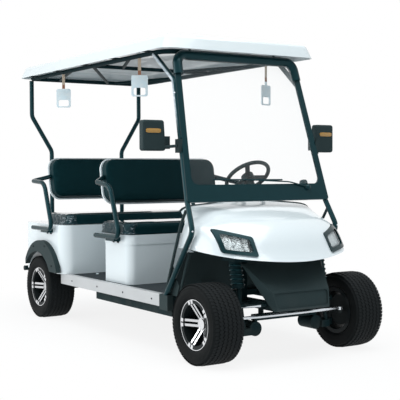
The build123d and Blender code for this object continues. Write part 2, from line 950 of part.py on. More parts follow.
def dash_form(inset):
    """The dash's closed form, arched across the top, drawn in by inset."""
    with BuildPart() as form:
        with BuildSketch(Plane.YZ.offset(front_x - 500)):
            with BuildLine():
                ThreePointArc(
                    (-dash_half_width + inset, dash_shoulder_z - inset),
                    (0, dash_crown - inset),
                    (dash_half_width - inset, dash_shoulder_z - inset),
                )
                Polyline(
                    (dash_half_width - inset, dash_shoulder_z - inset),
                    (dash_half_width - inset, 500),
                    (-dash_half_width + inset, 500),
                    (-dash_half_width + inset, dash_shoulder_z - inset),
                )
            make_face()
        extrude(amount=300)
        with BuildSketch(Plane.XZ.offset(-dash_half_width)):
            with BuildLine():
                Polyline(
                    *[(front_x - behind + (inset if behind > dash_front else 4 * inset), z)
                      for behind, z in dash_profile],
                    close=True,
                )
            make_face()
        extrude(amount=2 * dash_half_width, mode=Mode.INTERSECT)
    return form.part


with BuildPart() as cowl_seal:
    add(cowl_form(-seal_height))
    add(cowl_form(seal_inside), mode=Mode.SUBTRACT)
    box_between(
        (cowl_rear - seal_depth, -screen_foot_half, seal_low),
        (cowl_rear, screen_foot_half, overall_height),
        mode=Mode.INTERSECT,
    )
with BuildPart() as dashboard:
    add(dash_form(0))
    add(dash_form(dash_wall), mode=Mode.SUBTRACT)
    add(cowl_seal.part)
    with BuildSketch(Plane.XZ.offset(-toe_board_half)):
        with BuildLine():
            Polyline(
                (front_x - 300, toe_board_top_z),
                (front_x - 312, toe_board_top_z),
                (floor_front, floor_top),
                (floor_front, floor_top - floor_thickness),
                (floor_front + 14, floor_top - floor_thickness),
                close=True,
            )
        make_face()
    extrude(amount=2 * toe_board_half)
    column_hole = straight_tube(along_column(0), along_column(column_length + 60), column_radius)
    add(column_hole, mode=Mode.SUBTRACT)
name_and_write(dashboard, "dashboard")

# ================================================================== screen
screen_angle = radians(screen_lean)
screen_normal = (cos(screen_angle), 0, sin(screen_angle))
screen_length = (screen_head_z - screen_foot_z) / cos(screen_angle)


def screen_plane(ahead):
    """Plane of the screen, with y up its slope, moved ahead along its normal."""
    origin = (
        screen_foot_x + ahead * screen_normal[0],
        0,
        screen_foot_z + ahead * screen_normal[2],
    )
    return Plane(origin=origin, x_dir=(0, 1, 0), z_dir=screen_normal)


def screen_outline(side_inset, foot_inset, head_inset):
    """Corners of the screen's outline inside the open line."""
    taper = (screen_foot_half - screen_head_half) / screen_length
    foot_half = screen_foot_half - taper * foot_inset - side_inset
    head_half = screen_head_half + taper * head_inset - side_inset
    Polyline(
        (-foot_half, foot_inset),
        (foot_half, foot_inset),
        (head_half, screen_length - head_inset),
        (-head_half, screen_length - head_inset),
        close=True,
    )


screen_corner = 62


def screen_point(out, down):
    """Point on the screen's plane, measured out from its middle and down from its head."""
    slope = (screen_length - down) * sin(screen_angle)
    height = (screen_length - down) * cos(screen_angle)
    return (screen_foot_x - slope, out, screen_foot_z + height)


with BuildPart() as windshield_frame:
    with BuildSketch(screen_plane(-screen_thickness / 2)):
        with BuildLine():
            screen_outline(0, 0, 0)
        make_face()
        fillet(vertices().group_by(Axis.Y)[-1], screen_corner + 20)
        fillet(vertices().group_by(Axis.Y)[0], 15)
        with BuildSketch(mode=Mode.PRIVATE) as opening:
            with BuildLine():
                screen_outline(screen_frame_side, screen_band, screen_head_radius)
            make_face()
            fillet(vertices(), screen_corner - 14)
        add(opening.sketch, mode=Mode.SUBTRACT)
    extrude(amount=screen_thickness)
    add(bent_tube(
        (
            screen_point(head_tube_half + screen_elbow_flare, screen_elbow_drop),
            screen_point(head_tube_half, 0),
            screen_point(-head_tube_half, 0),
            screen_point(-head_tube_half - screen_elbow_flare, screen_elbow_drop),
        ),
        (screen_corner, screen_corner),
        screen_head_radius,
    ))
    add(front_posts.part, mode=Mode.SUBTRACT)
name_and_write(windshield_frame, "windshield_frame")

with BuildPart() as windshield_glass:
    with BuildSketch(screen_plane(-glass_thickness / 2)):
        with BuildLine():
            screen_outline(screen_frame_side, screen_band, screen_head_radius)
        make_face()
        fillet(vertices(), screen_corner - 14)
    extrude(amount=glass_thickness)
    add(windshield_frame.part, mode=Mode.SUBTRACT)
name_and_write(windshield_glass, "windshield_glass")

# ================================================================== canopy
mid_bar_x = front_x - 1480
canopy_bend = 120
canopy_tab_width = 34
canopy_tab_height = 8
canopy_tabs = (-620, -1050, -1480, -1940, -2400)


def roof_form(inset):
    """The roof's closed form, drawn in by inset."""
    length = roof_front - roof_rear - 2 * inset
    with BuildPart() as form:
        with BuildSketch(Plane.XY.offset(roof_low)):
            with Locations(((roof_front + roof_rear) / 2, 0)):
                RectangleRounded(length, 2 * (roof_half_width - inset), roof_corner - inset)
        extrude(amount=roof_depth - inset, taper=roof_draft)
        fillet(form.faces().sort_by(Axis.Z)[-1].edges(), 0.45 * roof_depth - inset)
    return form.part


with BuildPart() as roof_frame:
    rear_bar_x = rear_post_x
    with BuildLine() as loop:
        FilletPolyline(
            (rear_bar_x, canopy_frame_half, canopy_frame_z),
            (canopy_frame_front, canopy_frame_half, canopy_frame_z),
            (canopy_frame_front, -canopy_frame_half, canopy_frame_z),
            (rear_bar_x, -canopy_frame_half, canopy_frame_z),
            radius=(30, canopy_bend, canopy_bend, 30),
            close=True,
        )
    with BuildSketch(Plane(origin=loop.line @ 0, z_dir=loop.line % 0)):
        Circle(rail_tube_radius)
    sweep(path=loop.line)
    add(straight_tube(
        (mid_bar_x, -canopy_frame_half, canopy_frame_z),
        (mid_bar_x, canopy_frame_half, canopy_frame_z),
        cross_bar_radius,
    ))
    for side in (-1, 1):
        add(straight_tube(
            (rear_bar_x, side * 240, canopy_frame_z),
            (front_x - 1800, side * canopy_frame_half, canopy_frame_z),
            brace_radius,
        ))
        add(straight_tube(
            (mid_bar_x, side * 240, canopy_frame_z),
            (front_x - 940, side * canopy_frame_half, canopy_frame_z),
            brace_radius,
        ))
    add(straight_tube(
        (mid_bar_x, -canopy_frame_half, canopy_frame_z),
        (rear_bar_x, 190, canopy_frame_z),
        brace_radius,
    ))
    with BuildPart(mode=Mode.PRIVATE) as tabs:
        for ahead in canopy_tabs:
            box_between(
                (front_x + ahead - canopy_tab_width / 2, -roof_half_width, roof_low),
                (front_x + ahead + canopy_tab_width / 2, roof_half_width, roof_low + canopy_tab_height),
            )
        box_between(
            (roof_rear, -canopy_frame_half, roof_low),
            (roof_front, canopy_frame_half, roof_low + canopy_tab_height),
            mode=Mode.SUBTRACT,
        )
        add(roof_form(roof_wall), mode=Mode.INTERSECT)
    add(tabs.part)
name_and_write(roof_frame, "roof_frame")

with BuildPart() as rear_posts:
    add(bent_tube(
        (
            (rear_post_x, canopy_frame_half, canopy_frame_z - rail_tube_radius),
            (rear_post_x, canopy_frame_half, rear_post_upper_bend_z),
            (rear_post_x, rear_post_low_half, rear_post_lower_bend_z),
            (rear_post_x, rear_post_low_half, rail_top),
        ),
        (80, 80),
        rear_post_radius,
    ))
    mirror(about=Plane.XZ)
name_and_write(rear_posts, "rear_posts")


with BuildPart() as roof_shell:
    add(roof_form(0))
    add(roof_form(roof_wall), mode=Mode.SUBTRACT)
name_and_write(roof_shell, "roof_shell")

# ================================================================== seat boxes and rear body
box_corner = 60
box_rim_height = 64
box_rim_out = 4


def seat_box_form(inset, low, high):
    """The front seat box's plan, drawn in by inset, from low to high."""
    with BuildPart() as form:
        with BuildSketch(Plane.XY.offset(low)):
            with BuildLine():
                Polyline(
                    (front_box_rear + inset, -front_box_half + inset),
                    (front_box_front - inset, -front_box_half + inset),
                    (front_box_front - inset, front_box_half - inset),
                    (front_box_rear + inset, front_box_half - inset),
                    close=True,
                )
            make_face()
            fillet(vertices().group_by(Axis.X)[-1], box_corner - inset)
            fillet(vertices().group_by(Axis.X)[0], 22 - inset)
        extrude(amount=high - low)
    return form.part


with BuildPart() as front_seat_box:
    add(seat_box_form(box_rim_out, floor_top, front_box_top))
    add(seat_box_form(0, front_box_top - box_rim_height, front_box_top))
    add(seat_box_form(box_rim_out + box_wall, floor_top, front_box_top - box_wall), mode=Mode.SUBTRACT)
name_and_write(front_seat_box, "front_seat_box")

battery_clearance = 12
battery_height = 250
with BuildPart() as battery_pack:
    box_between(
        (front_box_rear + box_wall + battery_clearance, -400, floor_top),
        (front_box_front - box_wall - battery_clearance, 400, floor_top + battery_height),
    )
name_and_write(battery_pack, "battery_pack")


def rear_body_form(inset):
    """The rear body's closed form without its wheel arches, drawn in by inset."""
    with BuildPart() as form:
        with BuildSketch(Plane.XY.offset(floor_top)):
            with BuildLine():
                Polyline(
                    (rear_body_rear + inset, -rear_body_half + inset),
                    (rear_body_front - inset, -rear_body_half + inset),
                    (rear_body_front - inset, rear_body_half - inset),
                    (rear_body_rear + inset, rear_body_half - inset),
                    close=True,
                )
            make_face()
            fillet(vertices().group_by(Axis.X)[-1], 90 - inset)
            fillet(vertices().group_by(Axis.X)[0], 130 - inset)
        extrude(amount=rear_body_top - floor_top - inset)
    return form.part


def arch_form(radius, inner_y):
    """Drums that stand for the wheel arches' space on both sides."""
    with BuildPart() as arches:
        for side in (-1, 1):
            with BuildSketch(Plane.XZ.offset(-side * inner_y)):
                with Locations((rear_x, tyre_radius)):
                    Circle(radius)
            extrude(amount=-side * 300)
    return arches.part


with BuildPart() as rear_body:
    add(rear_body_form(0))
    add(arch_form(arch_radius, arch_inner_y), mode=Mode.SUBTRACT)
    rear_inner = rear_body_form(box_wall) - arch_form(
        arch_radius + box_wall, arch_inner_y - box_wall
    )
    add(rear_inner, mode=Mode.SUBTRACT)
name_and_write(rear_body, "rear_body")

with BuildPart() as arch_flares:
    for side in (-1, 1):
        with BuildSketch(Plane.XZ.offset(-side * rear_body_half)):
            with Locations((rear_x + flare_ahead, tyre_radius + flare_above)):
                Circle(flare_radius)
            with Locations((rear_x, tyre_radius)):
                Circle(arch_radius + 2, mode=Mode.SUBTRACT)
        extrude(amount=-side * (flare_outer_y - rear_body_half))
    split(bisect_by=Plane.XY.offset(flare_low), keep=Keep.TOP)
    split(bisect_by=Plane.YZ.offset(flare_rear), keep=Keep.TOP)
name_and_write(arch_flares, "arch_flares")

tail_lamp_y = 430
tail_lamp_z = 600
tail_lamp_radius = 48
tail_lamp_depth = 22
with BuildPart() as tail_lamps:
    with BuildSketch(Plane.YZ.offset(rear_body_rear)):
        with Locations((-tail_lamp_y, tail_lamp_z), (tail_lamp_y, tail_lamp_z)):
            Circle(tail_lamp_radius)
    extrude(amount=-tail_lamp_depth)
name_and_write(tail_lamps, "tail_lamps")

# ================================================================== seats
seat_rows = (
    # shift back, top of the box, lift of the back, arm tube out, box side,
    # the tube's end in the back and its upper rear corner
    (0, front_box_top, 0, front_arm_y, front_box_half, (-1392, 440, 1049), (-1303, 0, 1015)),
    (seat_pitch, rear_body_top, 14, rear_arm_y, rear_body_half, (-2266, 440, 1052), (-2204, 0, 1017)),
)
cushion_front = front_box_front + cushion_setback
lean = radians(back_lean)
back_normal = (cos(lean), 0, sin(lean))
seat_parts = {"cushions": [], "backrests": [], "seat_back_shells": [], "seat_frames": []}
for shift, box_top, lift, arm_y, box_side, back_end, back_corner in seat_rows:
    with BuildPart() as cushion:
        with BuildSketch(Plane.XY.offset(box_top)):
            with BuildLine():
                Polyline(
                    (cushion_front - shift - cushion_length, -cushion_half),
                    (cushion_front - shift, -cushion_half),
                    (cushion_front - shift, cushion_half),
                    (cushion_front - shift - cushion_length, cushion_half),
                    close=True,
                )
            make_face()
            fillet(vertices(), 60)
        extrude(amount=cushion_height)
        fillet(cushion.faces().sort_by(Axis.Z)[-1].edges(), 22)
    seat_parts["cushions"].append(cushion.part)

    back_centre = (front_back_x - shift, 0, front_back_z + lift)

    def back_plane(ahead, centre=back_centre):
        """Plane of a backrest moved ahead along its normal."""
        origin = tuple(c + ahead * n for c, n in zip(centre, back_normal))
        return Plane(origin=origin, x_dir=(0, 1, 0), z_dir=back_normal)

    with BuildPart() as backrest:
        with BuildSketch(back_plane(0)):
            RectangleRounded(back_width, back_height, 78)
        extrude(amount=back_thickness)
        fillet(backrest.faces().sort_by(Axis.X)[-1].edges(), 18)
    seat_parts["backrests"].append(backrest.part)

    with BuildPart() as shell:
        with BuildSketch(back_plane(-back_shell)):
            RectangleRounded(back_width + 12, back_height + 12, 84)
        extrude(amount=back_shell)
    seat_parts["seat_back_shells"].append(shell.part)

    with BuildPart() as seat_frame:
        add(bent_tube(
            (
                (front_x + back_end[0], back_end[1], back_end[2]),
                (front_x + back_corner[0], arm_y, back_corner[2]),
                (front_x - 1118 - shift, arm_y, 992 + lift),
                (front_x - 984 - shift, arm_y, 657 + lift),
                (front_x - 1330 - shift, arm_y, 657 + lift),
            ),
            (26, 90, 42),
            arm_tube_radius,
        ))
        box_between(
            (front_x - 1170 - shift, box_side, 640 + lift - 10),
            (front_x - 1050 - shift, arm_y + arm_tube_radius / 2, 657 + lift),
        )
        mirror(about=Plane.XZ)
        add(backrest.part, mode=Mode.SUBTRACT)
        add(shell.part, mode=Mode.SUBTRACT)
    seat_parts["seat_frames"].append(seat_frame.part)

for node, solids in seat_parts.items():
    with BuildPart() as rows:
        for solid in solids:
            add(solid)
    name_and_write(rows, node)

# ================================================================== mirrors, pedals, handles
mirror_low = 1204
mirror_high = 1384
mirror_inner_y = 574
mirror_low_inner_y = 562
mirror_outer_y = 717
mirror_depth = 46
mirror_tab_y = 531
mirror_tab_top = 1290
mirror_x = front_x - 376
mirror_arm_z = 1226
mirror_arm_radius = 9
mirror_clamp_x = front_x - 296
with BuildPart() as mirrors:
    with BuildSketch(Plane.YZ.offset(mirror_x - mirror_depth / 2)):
        with BuildLine():
            Polyline(
                (mirror_low_inner_y, mirror_low),
                (mirror_outer_y, mirror_low),
                (mirror_outer_y, mirror_high),
                (mirror_inner_y, mirror_high),
                close=True,
            )
        make_face()
        fillet(vertices(), 16)
    extrude(amount=mirror_depth)
    fillet(mirrors.faces().sort_by(Axis.X)[-1].edges(), 12)
    add(straight_tube(
        (mirror_x, mirror_low_inner_y + 20, mirror_arm_z),
        (mirror_clamp_x, 522, mirror_arm_z + 6),
        mirror_arm_radius,
    ))
    box_between(
        (mirror_x - 12, mirror_tab_y, mirror_arm_z - 10),
        (mirror_x + 12, mirror_inner_y + 6, mirror_tab_top),
    )
    box_between(
        (mirror_clamp_x - 22, 500, mirror_arm_z - 34),
        (mirror_clamp_x + 22, 524, mirror_arm_z + 46),
    )
    mirror(about=Plane.XZ)
    add(front_posts.part, mode=Mode.SUBTRACT)
    add(windshield_frame.part, mode=Mode.SUBTRACT)
name_and_write(mirrors, "mirrors")

pedal_table = (
    # y, width, how far behind the axle its pad stands
    (170, 70, 450),
    (290, 90, 455),
)
with BuildPart() as pedals:
    for pedal_y, pedal_width, behind in pedal_table:
        with BuildSketch(Plane.XZ.offset(-pedal_y)):
            with BuildLine():
                Polyline(
                    (front_x - behind - 10, floor_top),
                    (front_x - behind - 60, floor_top),
                    (front_x - behind - 20, floor_top + 120),
                    (front_x - behind - 8, floor_top + 120),
                    close=True,
                )
            make_face()
        extrude(amount=pedal_width / 2, both=True)
name_and_write(pedals, "pedals")

handle_table = (
    # behind the front axle, side, turn about the upright in degrees, strap length
    (1957, -1, -33, 112),
    (820, -1, -33, 110),
    (772, 1, 18, 136),
)
strap_width = 20
plate_width = 104
plate_height = 136
plate_thickness = 5
with BuildPart() as grab_handles:
    for behind, side, turn, strap_length in handle_table:
        strap_top = canopy_frame_z - rail_tube_radius
        hang = Plane(
            origin=(front_x - behind, side * canopy_frame_half, strap_top),
            x_dir=(sin(radians(-turn)), cos(radians(-turn)), 0),
            z_dir=(cos(radians(turn)), sin(radians(turn)), 0),
        )
        with BuildSketch(hang):
            with Locations((0, -strap_length / 2)):
                Rectangle(strap_width, strap_length)
            with Locations((0, -strap_length - plate_height / 2 + 6)):
                RectangleRounded(plate_width, plate_height, 14)
            with Locations((0, -strap_length - plate_height * 0.72)):
                RectangleRounded(plate_width - 30, plate_height * 0.34, 12, mode=Mode.SUBTRACT)
        extrude(amount=plate_thickness / 2, both=True)
name_and_write(grab_handles, "grab_handles")
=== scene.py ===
"""Four-seat golf cart: finishes, upholstery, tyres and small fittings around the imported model.

Metres.  +X points forward, +Y to the cart's left and +Z up; the ground is z = 0.
"""

import json
from math import cos, pi, radians, sin, sqrt

import bmesh
import bpy
import numpy as np
from mathutils import Matrix, Vector
from mathutils.bvhtree import BVHTree


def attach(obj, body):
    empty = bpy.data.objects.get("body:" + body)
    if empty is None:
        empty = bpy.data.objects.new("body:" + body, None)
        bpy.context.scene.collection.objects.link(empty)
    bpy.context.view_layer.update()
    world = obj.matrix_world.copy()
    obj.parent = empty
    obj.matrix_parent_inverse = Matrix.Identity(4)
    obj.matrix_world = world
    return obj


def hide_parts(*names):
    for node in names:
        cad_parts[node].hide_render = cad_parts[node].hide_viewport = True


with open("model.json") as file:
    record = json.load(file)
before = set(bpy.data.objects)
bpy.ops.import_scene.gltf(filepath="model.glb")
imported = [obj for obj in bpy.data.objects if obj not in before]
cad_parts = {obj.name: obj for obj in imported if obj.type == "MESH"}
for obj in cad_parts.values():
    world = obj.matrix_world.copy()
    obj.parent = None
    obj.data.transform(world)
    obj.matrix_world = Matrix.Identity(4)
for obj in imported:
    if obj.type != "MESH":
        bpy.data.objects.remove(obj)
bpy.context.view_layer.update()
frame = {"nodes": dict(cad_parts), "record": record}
scene = bpy.context.scene
chassis = "chassis"

# ==================== places on the cart
front_x = 1.235
rear_x = -0.915
wheel_y = 0.5115
tyre_radius = 0.23
spoke_pairs = 5
wheels = (
    # name, axle x, side
    ("front_left", front_x, 1),
    ("front_right", front_x, -1),
    ("rear_left", rear_x, 1),
    ("rear_right", rear_x, -1),
)

# ==================== shader tools


class Wire:
    """A shader socket that takes part in Python expressions."""

    def __init__(self, finish, socket):
        self.finish = finish
        self.socket = socket

    def join(self, operation, first, *rest):
        return self.finish.node("ShaderNodeMath", {"operation": operation}, (first, *rest))

    def __add__(self, other):
        return self.join("ADD", self, other)

    __radd__ = __add__

    def __sub__(self, other):
        return self.join("SUBTRACT", self, other)

    def __rsub__(self, other):
        return self.join("SUBTRACT", other, self)

    def __mul__(self, other):
        return self.join("MULTIPLY", self, other)

    __rmul__ = __mul__

    def __truediv__(self, other):
        return self.join("DIVIDE", self, other)

    def __rtruediv__(self, other):
        return self.join("DIVIDE", other, self)

    def __pow__(self, other):
        return self.join("POWER", self, other)

    def __neg__(self):
        return self.join("MULTIPLY", self, -1)

    def __abs__(self):
        return self.join("ABSOLUTE", self)

    def low(self, other):
        return self.join("MINIMUM", self, other)

    def high(self, other):
        return self.join("MAXIMUM", self, other)

    def wave(self):
        return self.join("SINE", self)

    def step(self, start, end):
        """0 below start, 1 above end, and smooth between; start may be above end."""
        values = {"Value": self, "From Min": start, "From Max": end}
        return self.finish.node(
            "ShaderNodeMapRange", {"interpolation_type": "SMOOTHSTEP"}, values
        )

    def part(self, index):
        """One part, x, y or z, of a vector."""
        return self.finish.node("ShaderNodeSeparateXYZ", {}, (self,), index)


class Finish:
    """A procedural material that is built node by node."""

    def __init__(self, name, **constants):
        self.material = bpy.data.materials.new(name)
        self.material.use_nodes = True
        self.tree = self.material.node_tree
        self.tree.nodes.clear()
        self.output = self.tree.nodes.new("ShaderNodeOutputMaterial")
        self.shader = self.tree.nodes.new("ShaderNodeBsdfPrincipled")
        self.tree.links.new(self.shader.outputs[0], self.output.inputs["Surface"])
        for label, value in constants.items():
            self.set(label.replace("_", " "), value)

    def plug(self, socket, value):
        if isinstance(value, Wire):
            self.tree.links.new(value.socket, socket)
        elif hasattr(value, "__len__") and len(value) == 3 and socket.type == "RGBA":
            socket.default_value = (*value, 1)
        else:
            socket.default_value = value

    def node(self, kind, settings=None, values=(), output=0):
        """Any node: its type, settings, the values or links of its sockets, and the output."""
        made = self.tree.nodes.new(kind)
        for name, value in (settings or {}).items():
            if name == "stops":
                ramp = made.color_ramp
                while len(ramp.elements) < len(value):
                    ramp.elements.new(0.5)
                for element, (place, colour) in zip(ramp.elements, value):
                    element.position = place
                    element.color = (*colour, 1)
            else:
                setattr(made, name, value)
        pairs = values.items() if isinstance(values, dict) else enumerate(values)
        for label, value in pairs:
            self.plug(made.inputs[label], value)
        return Wire(self, made.outputs[output])

    def set(self, label, value):
        """A socket of the shader itself."""
        self.plug(self.shader.inputs[label], value)

    def point(self, stretch=(1, 1, 1), shift=(0, 0, 0)):
        """Object coordinates in metres, stretched and shifted."""
        where = self.node("ShaderNodeTexCoord", {}, (), "Object")
        if stretch == (1, 1, 1) and shift == (0, 0, 0):
            return where
        return self.node(
            "ShaderNodeMapping", {}, {"Vector": where, "Scale": stretch, "Location": shift}
        )

    def facing(self):
        """The surface's direction in the object's own axes."""
        return self.node("ShaderNodeTexCoord", {}, (), "Normal")

    def grain(self, scale, detail=2.0, where=None, roughness=0.5):
        values = {
            "Vector": where or self.point(),
            "Scale": scale,
            "Detail": detail,
            "Roughness": roughness,
        }
        return self.node("ShaderNodeTexNoise", {}, values, 0)

    def cells(self, scale, where=None, feature="F1", output=0):
        values = {"Vector": where or self.point(), "Scale": scale}
        return self.node("ShaderNodeTexVoronoi", {"feature": feature}, values, output)

    def mix(self, first, second, share):
        """Colour between two colours."""
        values = {0: share, 6: first, 7: second}
        return self.node("ShaderNodeMix", {"data_type": "RGBA"}, values, 2)

    def bump(self, height, distance, strength=1.0, over=None):
        """Relief of the height times the distance in metres."""
        values = {"Height": height, "Distance": distance, "Strength": strength}
        if over is not None:
            values["Normal"] = over
        return self.node("ShaderNodeBump", {}, values)

    def dust(self, colour, dirt, height=0.5, amount=0.35):
        """Colour that greys towards the ground, where dust gathers."""
        low = self.point().part(2).step(height, 0.02)
        spots = self.grain(9.0, 4.0).step(0.35, 0.75)
        return self.mix(colour, dirt, low * spots * amount)


# ==================== finishes
cool_sheen = (0.35, 0.85, 1.0)   # tint of the reflections on dark plastic and paint
film_start = 0.435              # clear film still wraps the cushions' ends from here out
tube_deep = (0.0015, 0.018, 0.021)   # darker and lighter tone of the powder coat
tube_pale = (0.003, 0.024, 0.029)


def shell_white(name, low, high, below):
    """Glossy moulded shell with a faint orange peel and flow marks, and painted light on its
    downward faces.
    """
    finish = Finish(name, Coat_Weight=0.6, Coat_Roughness=0.04, IOR=1.5)
    cloud = finish.grain(1.6, 3.0)
    clean = finish.mix(low, high, cloud)
    # painted light: faces turned downwards take the colour below, which is painted shade on the
    # white shells and painted bounce light on the roof's underside
    under = finish.facing().part(2).step(-0.5, -0.9)
    base = finish.mix(clean, below, under)
    finish.set("Base Color", finish.dust(base, (0.45, 0.44, 0.42), 0.45, 0.12))
    finish.set("Roughness", 0.16 + under * 0.3 + finish.grain(40.0, 2.0) * 0.06)
    finish.set("Normal", finish.bump(finish.grain(420.0, 1.0), 0.00012, 0.35))
    return finish.material


def tube_black():
    """Powder coat in a blue-black, with a fine peel."""
    finish = Finish("blue_black_powder_coat", Specular_IOR_Level=0.25, Specular_Tint=cool_sheen,
                    Coat_Weight=0.06, Coat_Roughness=0.06)
    cloud = finish.grain(14.0, 3.0)
    finish.set("Base Color", finish.mix(tube_deep, tube_pale, cloud))
    finish.set("Roughness", 0.17 + finish.grain(60.0, 3.0) * 0.10)
    finish.set("Normal", finish.bump(finish.grain(900.0, 2.0), 0.00006, 0.4))
    return finish.material


def post_painted_sheen():
    """Powder coat like the other tubes, with a painted pale reflection on the right post's upper
    rear side.
    """
    finish = Finish("post_painted_sheen", Specular_IOR_Level=0.3, Specular_Tint=cool_sheen,
                    Coat_Weight=0.1)
    cloud = finish.grain(14.0, 3.0)
    base = finish.mix(tube_deep, tube_pale, cloud)
    # painted reflection: above 1.30 m the right post's rear-facing side is coloured pale and
    # streaked, standing in for a white sheen on the tube
    where, way = finish.point(), finish.facing()
    behind = (way.part(0) * -0.75 - way.part(1) * 0.65).step(0.05, 0.45)
    film_and_sheen = where.part(2).step(1.30, 1.50) * behind * where.part(1).step(0.0, -0.01)
    sheen_streak = finish.grain(8.0, 3.0, finish.point((1, 1, 5)))
    painted_sheen_colour = finish.mix((0.36, 0.41, 0.45), (0.60, 0.65, 0.69), sheen_streak.step(0.35, 0.65))
    finish.set("Base Color", finish.mix(base, painted_sheen_colour, film_and_sheen))
    finish.set("Roughness", 0.26 + finish.grain(60.0, 3.0) * 0.12)
    finish.set("Normal", finish.bump(finish.grain(900.0, 2.0), 0.0001, 0.5))
    return finish.material


def canopy_paint():
    """Satin paint of the tubes under the roof."""
    finish = Finish("canopy_paint", Specular_IOR_Level=0.06, Specular_Tint=cool_sheen)
    cloud = finish.grain(14.0, 3.0)
    finish.set("Base Color", finish.mix((0.005, 0.017, 0.020), (0.008, 0.022, 0.026), cloud))
    finish.set("Roughness", 0.5 + finish.grain(60.0, 3.0) * 0.12)
    finish.set("Normal", finish.bump(finish.grain(900.0, 2.0), 0.0001, 0.5))
    return finish.material


def frame_black():
    """Chassis paint, dulled by road dust."""
    finish = Finish("chassis_paint", Specular_IOR_Level=0.12, Specular_Tint=cool_sheen)
    cloud = finish.grain(22.0, 5.0)
    base = finish.mix((0.004, 0.013, 0.015), (0.010, 0.022, 0.025), cloud)
    finish.set("Base Color", finish.dust(base, (0.06, 0.06, 0.055), 0.6, 0.45))
    finish.set("Roughness", 0.45 + cloud * 0.25)
    finish.set("Normal", finish.bump(finish.grain(300.0, 4.0), 0.0003, 0.5))
    return finish.material


def moulded_dark():
    """Textured dark plastic of the panels, flares and dash."""
    finish = Finish("textured_plastic", Specular_IOR_Level=0.15, Specular_Tint=cool_sheen)
    cloud = finish.grain(6.0, 3.0)
    base = finish.mix((0.024, 0.036, 0.037), (0.031, 0.043, 0.044), cloud)
    finish.set("Base Color", finish.dust(base, (0.10, 0.10, 0.09), 0.5, 0.25))
    finish.set("Roughness", 0.42 + finish.cells(700.0) * 0.25)
    finish.set("Normal", finish.bump(finish.cells(900.0), 0.00018, 0.5))
    return finish.material


def lamp_black():
    finish = Finish("lamp_surround", Specular_IOR_Level=0.2, Specular_Tint=cool_sheen,
                    Coat_Weight=0.05)
    cloud = finish.grain(30.0)
    finish.set("Base Color", finish.mix((0.003, 0.016, 0.018), (0.005, 0.021, 0.024), cloud))
    finish.set("Roughness", 0.2 + finish.grain(80.0) * 0.1)
    finish.set("Normal", finish.bump(finish.grain(500.0), 0.00008, 0.4))
    return finish.material


def floor_rubber():
    """Ribbed floor mat."""
    finish = Finish("ribbed_mat", Specular_IOR_Level=0.15)
    where = finish.point()
    rib = (where.part(1) * (2 * pi / 0.012)).wave().step(-0.2, 0.4)
    cloud = finish.grain(9.0, 4.0)
    base = finish.mix((0.020, 0.028, 0.033), (0.032, 0.042, 0.048), cloud)
    soil = finish.grain(3.0, 5.0).step(0.55, 0.85)
    finish.set("Base Color", finish.mix(base, (0.09, 0.09, 0.085), soil * 0.25))
    finish.set("Roughness", 0.62 + cloud * 0.2)
    flat = finish.facing().part(2).step(0.7, 0.95)
    finish.set("Normal", finish.bump(rib * flat, 0.0012, 0.6))
    return finish.material


def brushed_alloy():
    """Rolled sill with lengthwise brush lines."""
    finish = Finish("brushed_sill", Metallic=0.35)
    line = finish.grain(1.0, 3.0, finish.point((6, 900, 900)))
    cloud = finish.grain(5.0, 3.0)
    finish.set("Base Color", finish.mix((0.50, 0.52, 0.53), (0.60, 0.61, 0.62), cloud))
    finish.set("Roughness", 0.34 + line * 0.16)
    finish.set("Normal", finish.bump(line, 0.00008, 0.5))
    return finish.material


def clear_pane(name, tint, rim):
    """A clear pane: see-through, with a Fresnel reflection."""
    finish = Finish(name, Base_Color=tint, Roughness=0.03, Specular_IOR_Level=0.5)
    clear = finish.tree.nodes.new("ShaderNodeBsdfTransparent")
    clear.inputs[0].default_value = (*tint, 1)
    gloss = finish.tree.nodes.new("ShaderNodeMixShader")
    share = finish.node("ShaderNodeFresnel", {}, {"IOR": 1.45}) * rim + finish.grain(3.0) * 0.01
    finish.plug(gloss.inputs[0], share)
    finish.tree.links.new(clear.outputs[0], gloss.inputs[1])
    finish.tree.links.new(finish.shader.outputs[0], gloss.inputs[2])
    finish.tree.links.new(gloss.outputs[0], finish.output.inputs["Surface"])
    return finish.material


def red_lens():
    finish = Finish("red_lens", Coat_Weight=0.8, Coat_Roughness=0.03, Roughness=0.2)
    where = finish.point()
    ring = (where.part(1) * 900).wave() * (where.part(2) * 900).wave()
    finish.set("Base Color", finish.mix((0.28, 0.008, 0.008), (0.5, 0.02, 0.015), ring * 0.5 + 0.5))
    finish.set("Normal", finish.bump(ring, 0.0006, 0.5))
    return finish.material


def tyre_rubber():
    """Blackish rubber, a little browner and dustier in the tread."""
    finish = Finish("tyre_rubber", Specular_IOR_Level=0.12)
    cloud = finish.grain(12.0, 5.0)
    flank = abs(finish.facing().part(1)).step(0.5, 0.9)
    tread = finish.mix((0.008, 0.011, 0.0125), (0.014, 0.016, 0.0165), cloud)
    base = finish.mix(tread, (0.004, 0.0055, 0.006), flank)
    finish.set("Base Color", finish.dust(base, (0.035, 0.032, 0.028), 0.30, 0.15))
    finish.set("Roughness", 0.62 + cloud * 0.2)
    finish.set("Normal", finish.bump(finish.grain(500.0, 3.0), 0.0002, 0.5))
    return finish.material


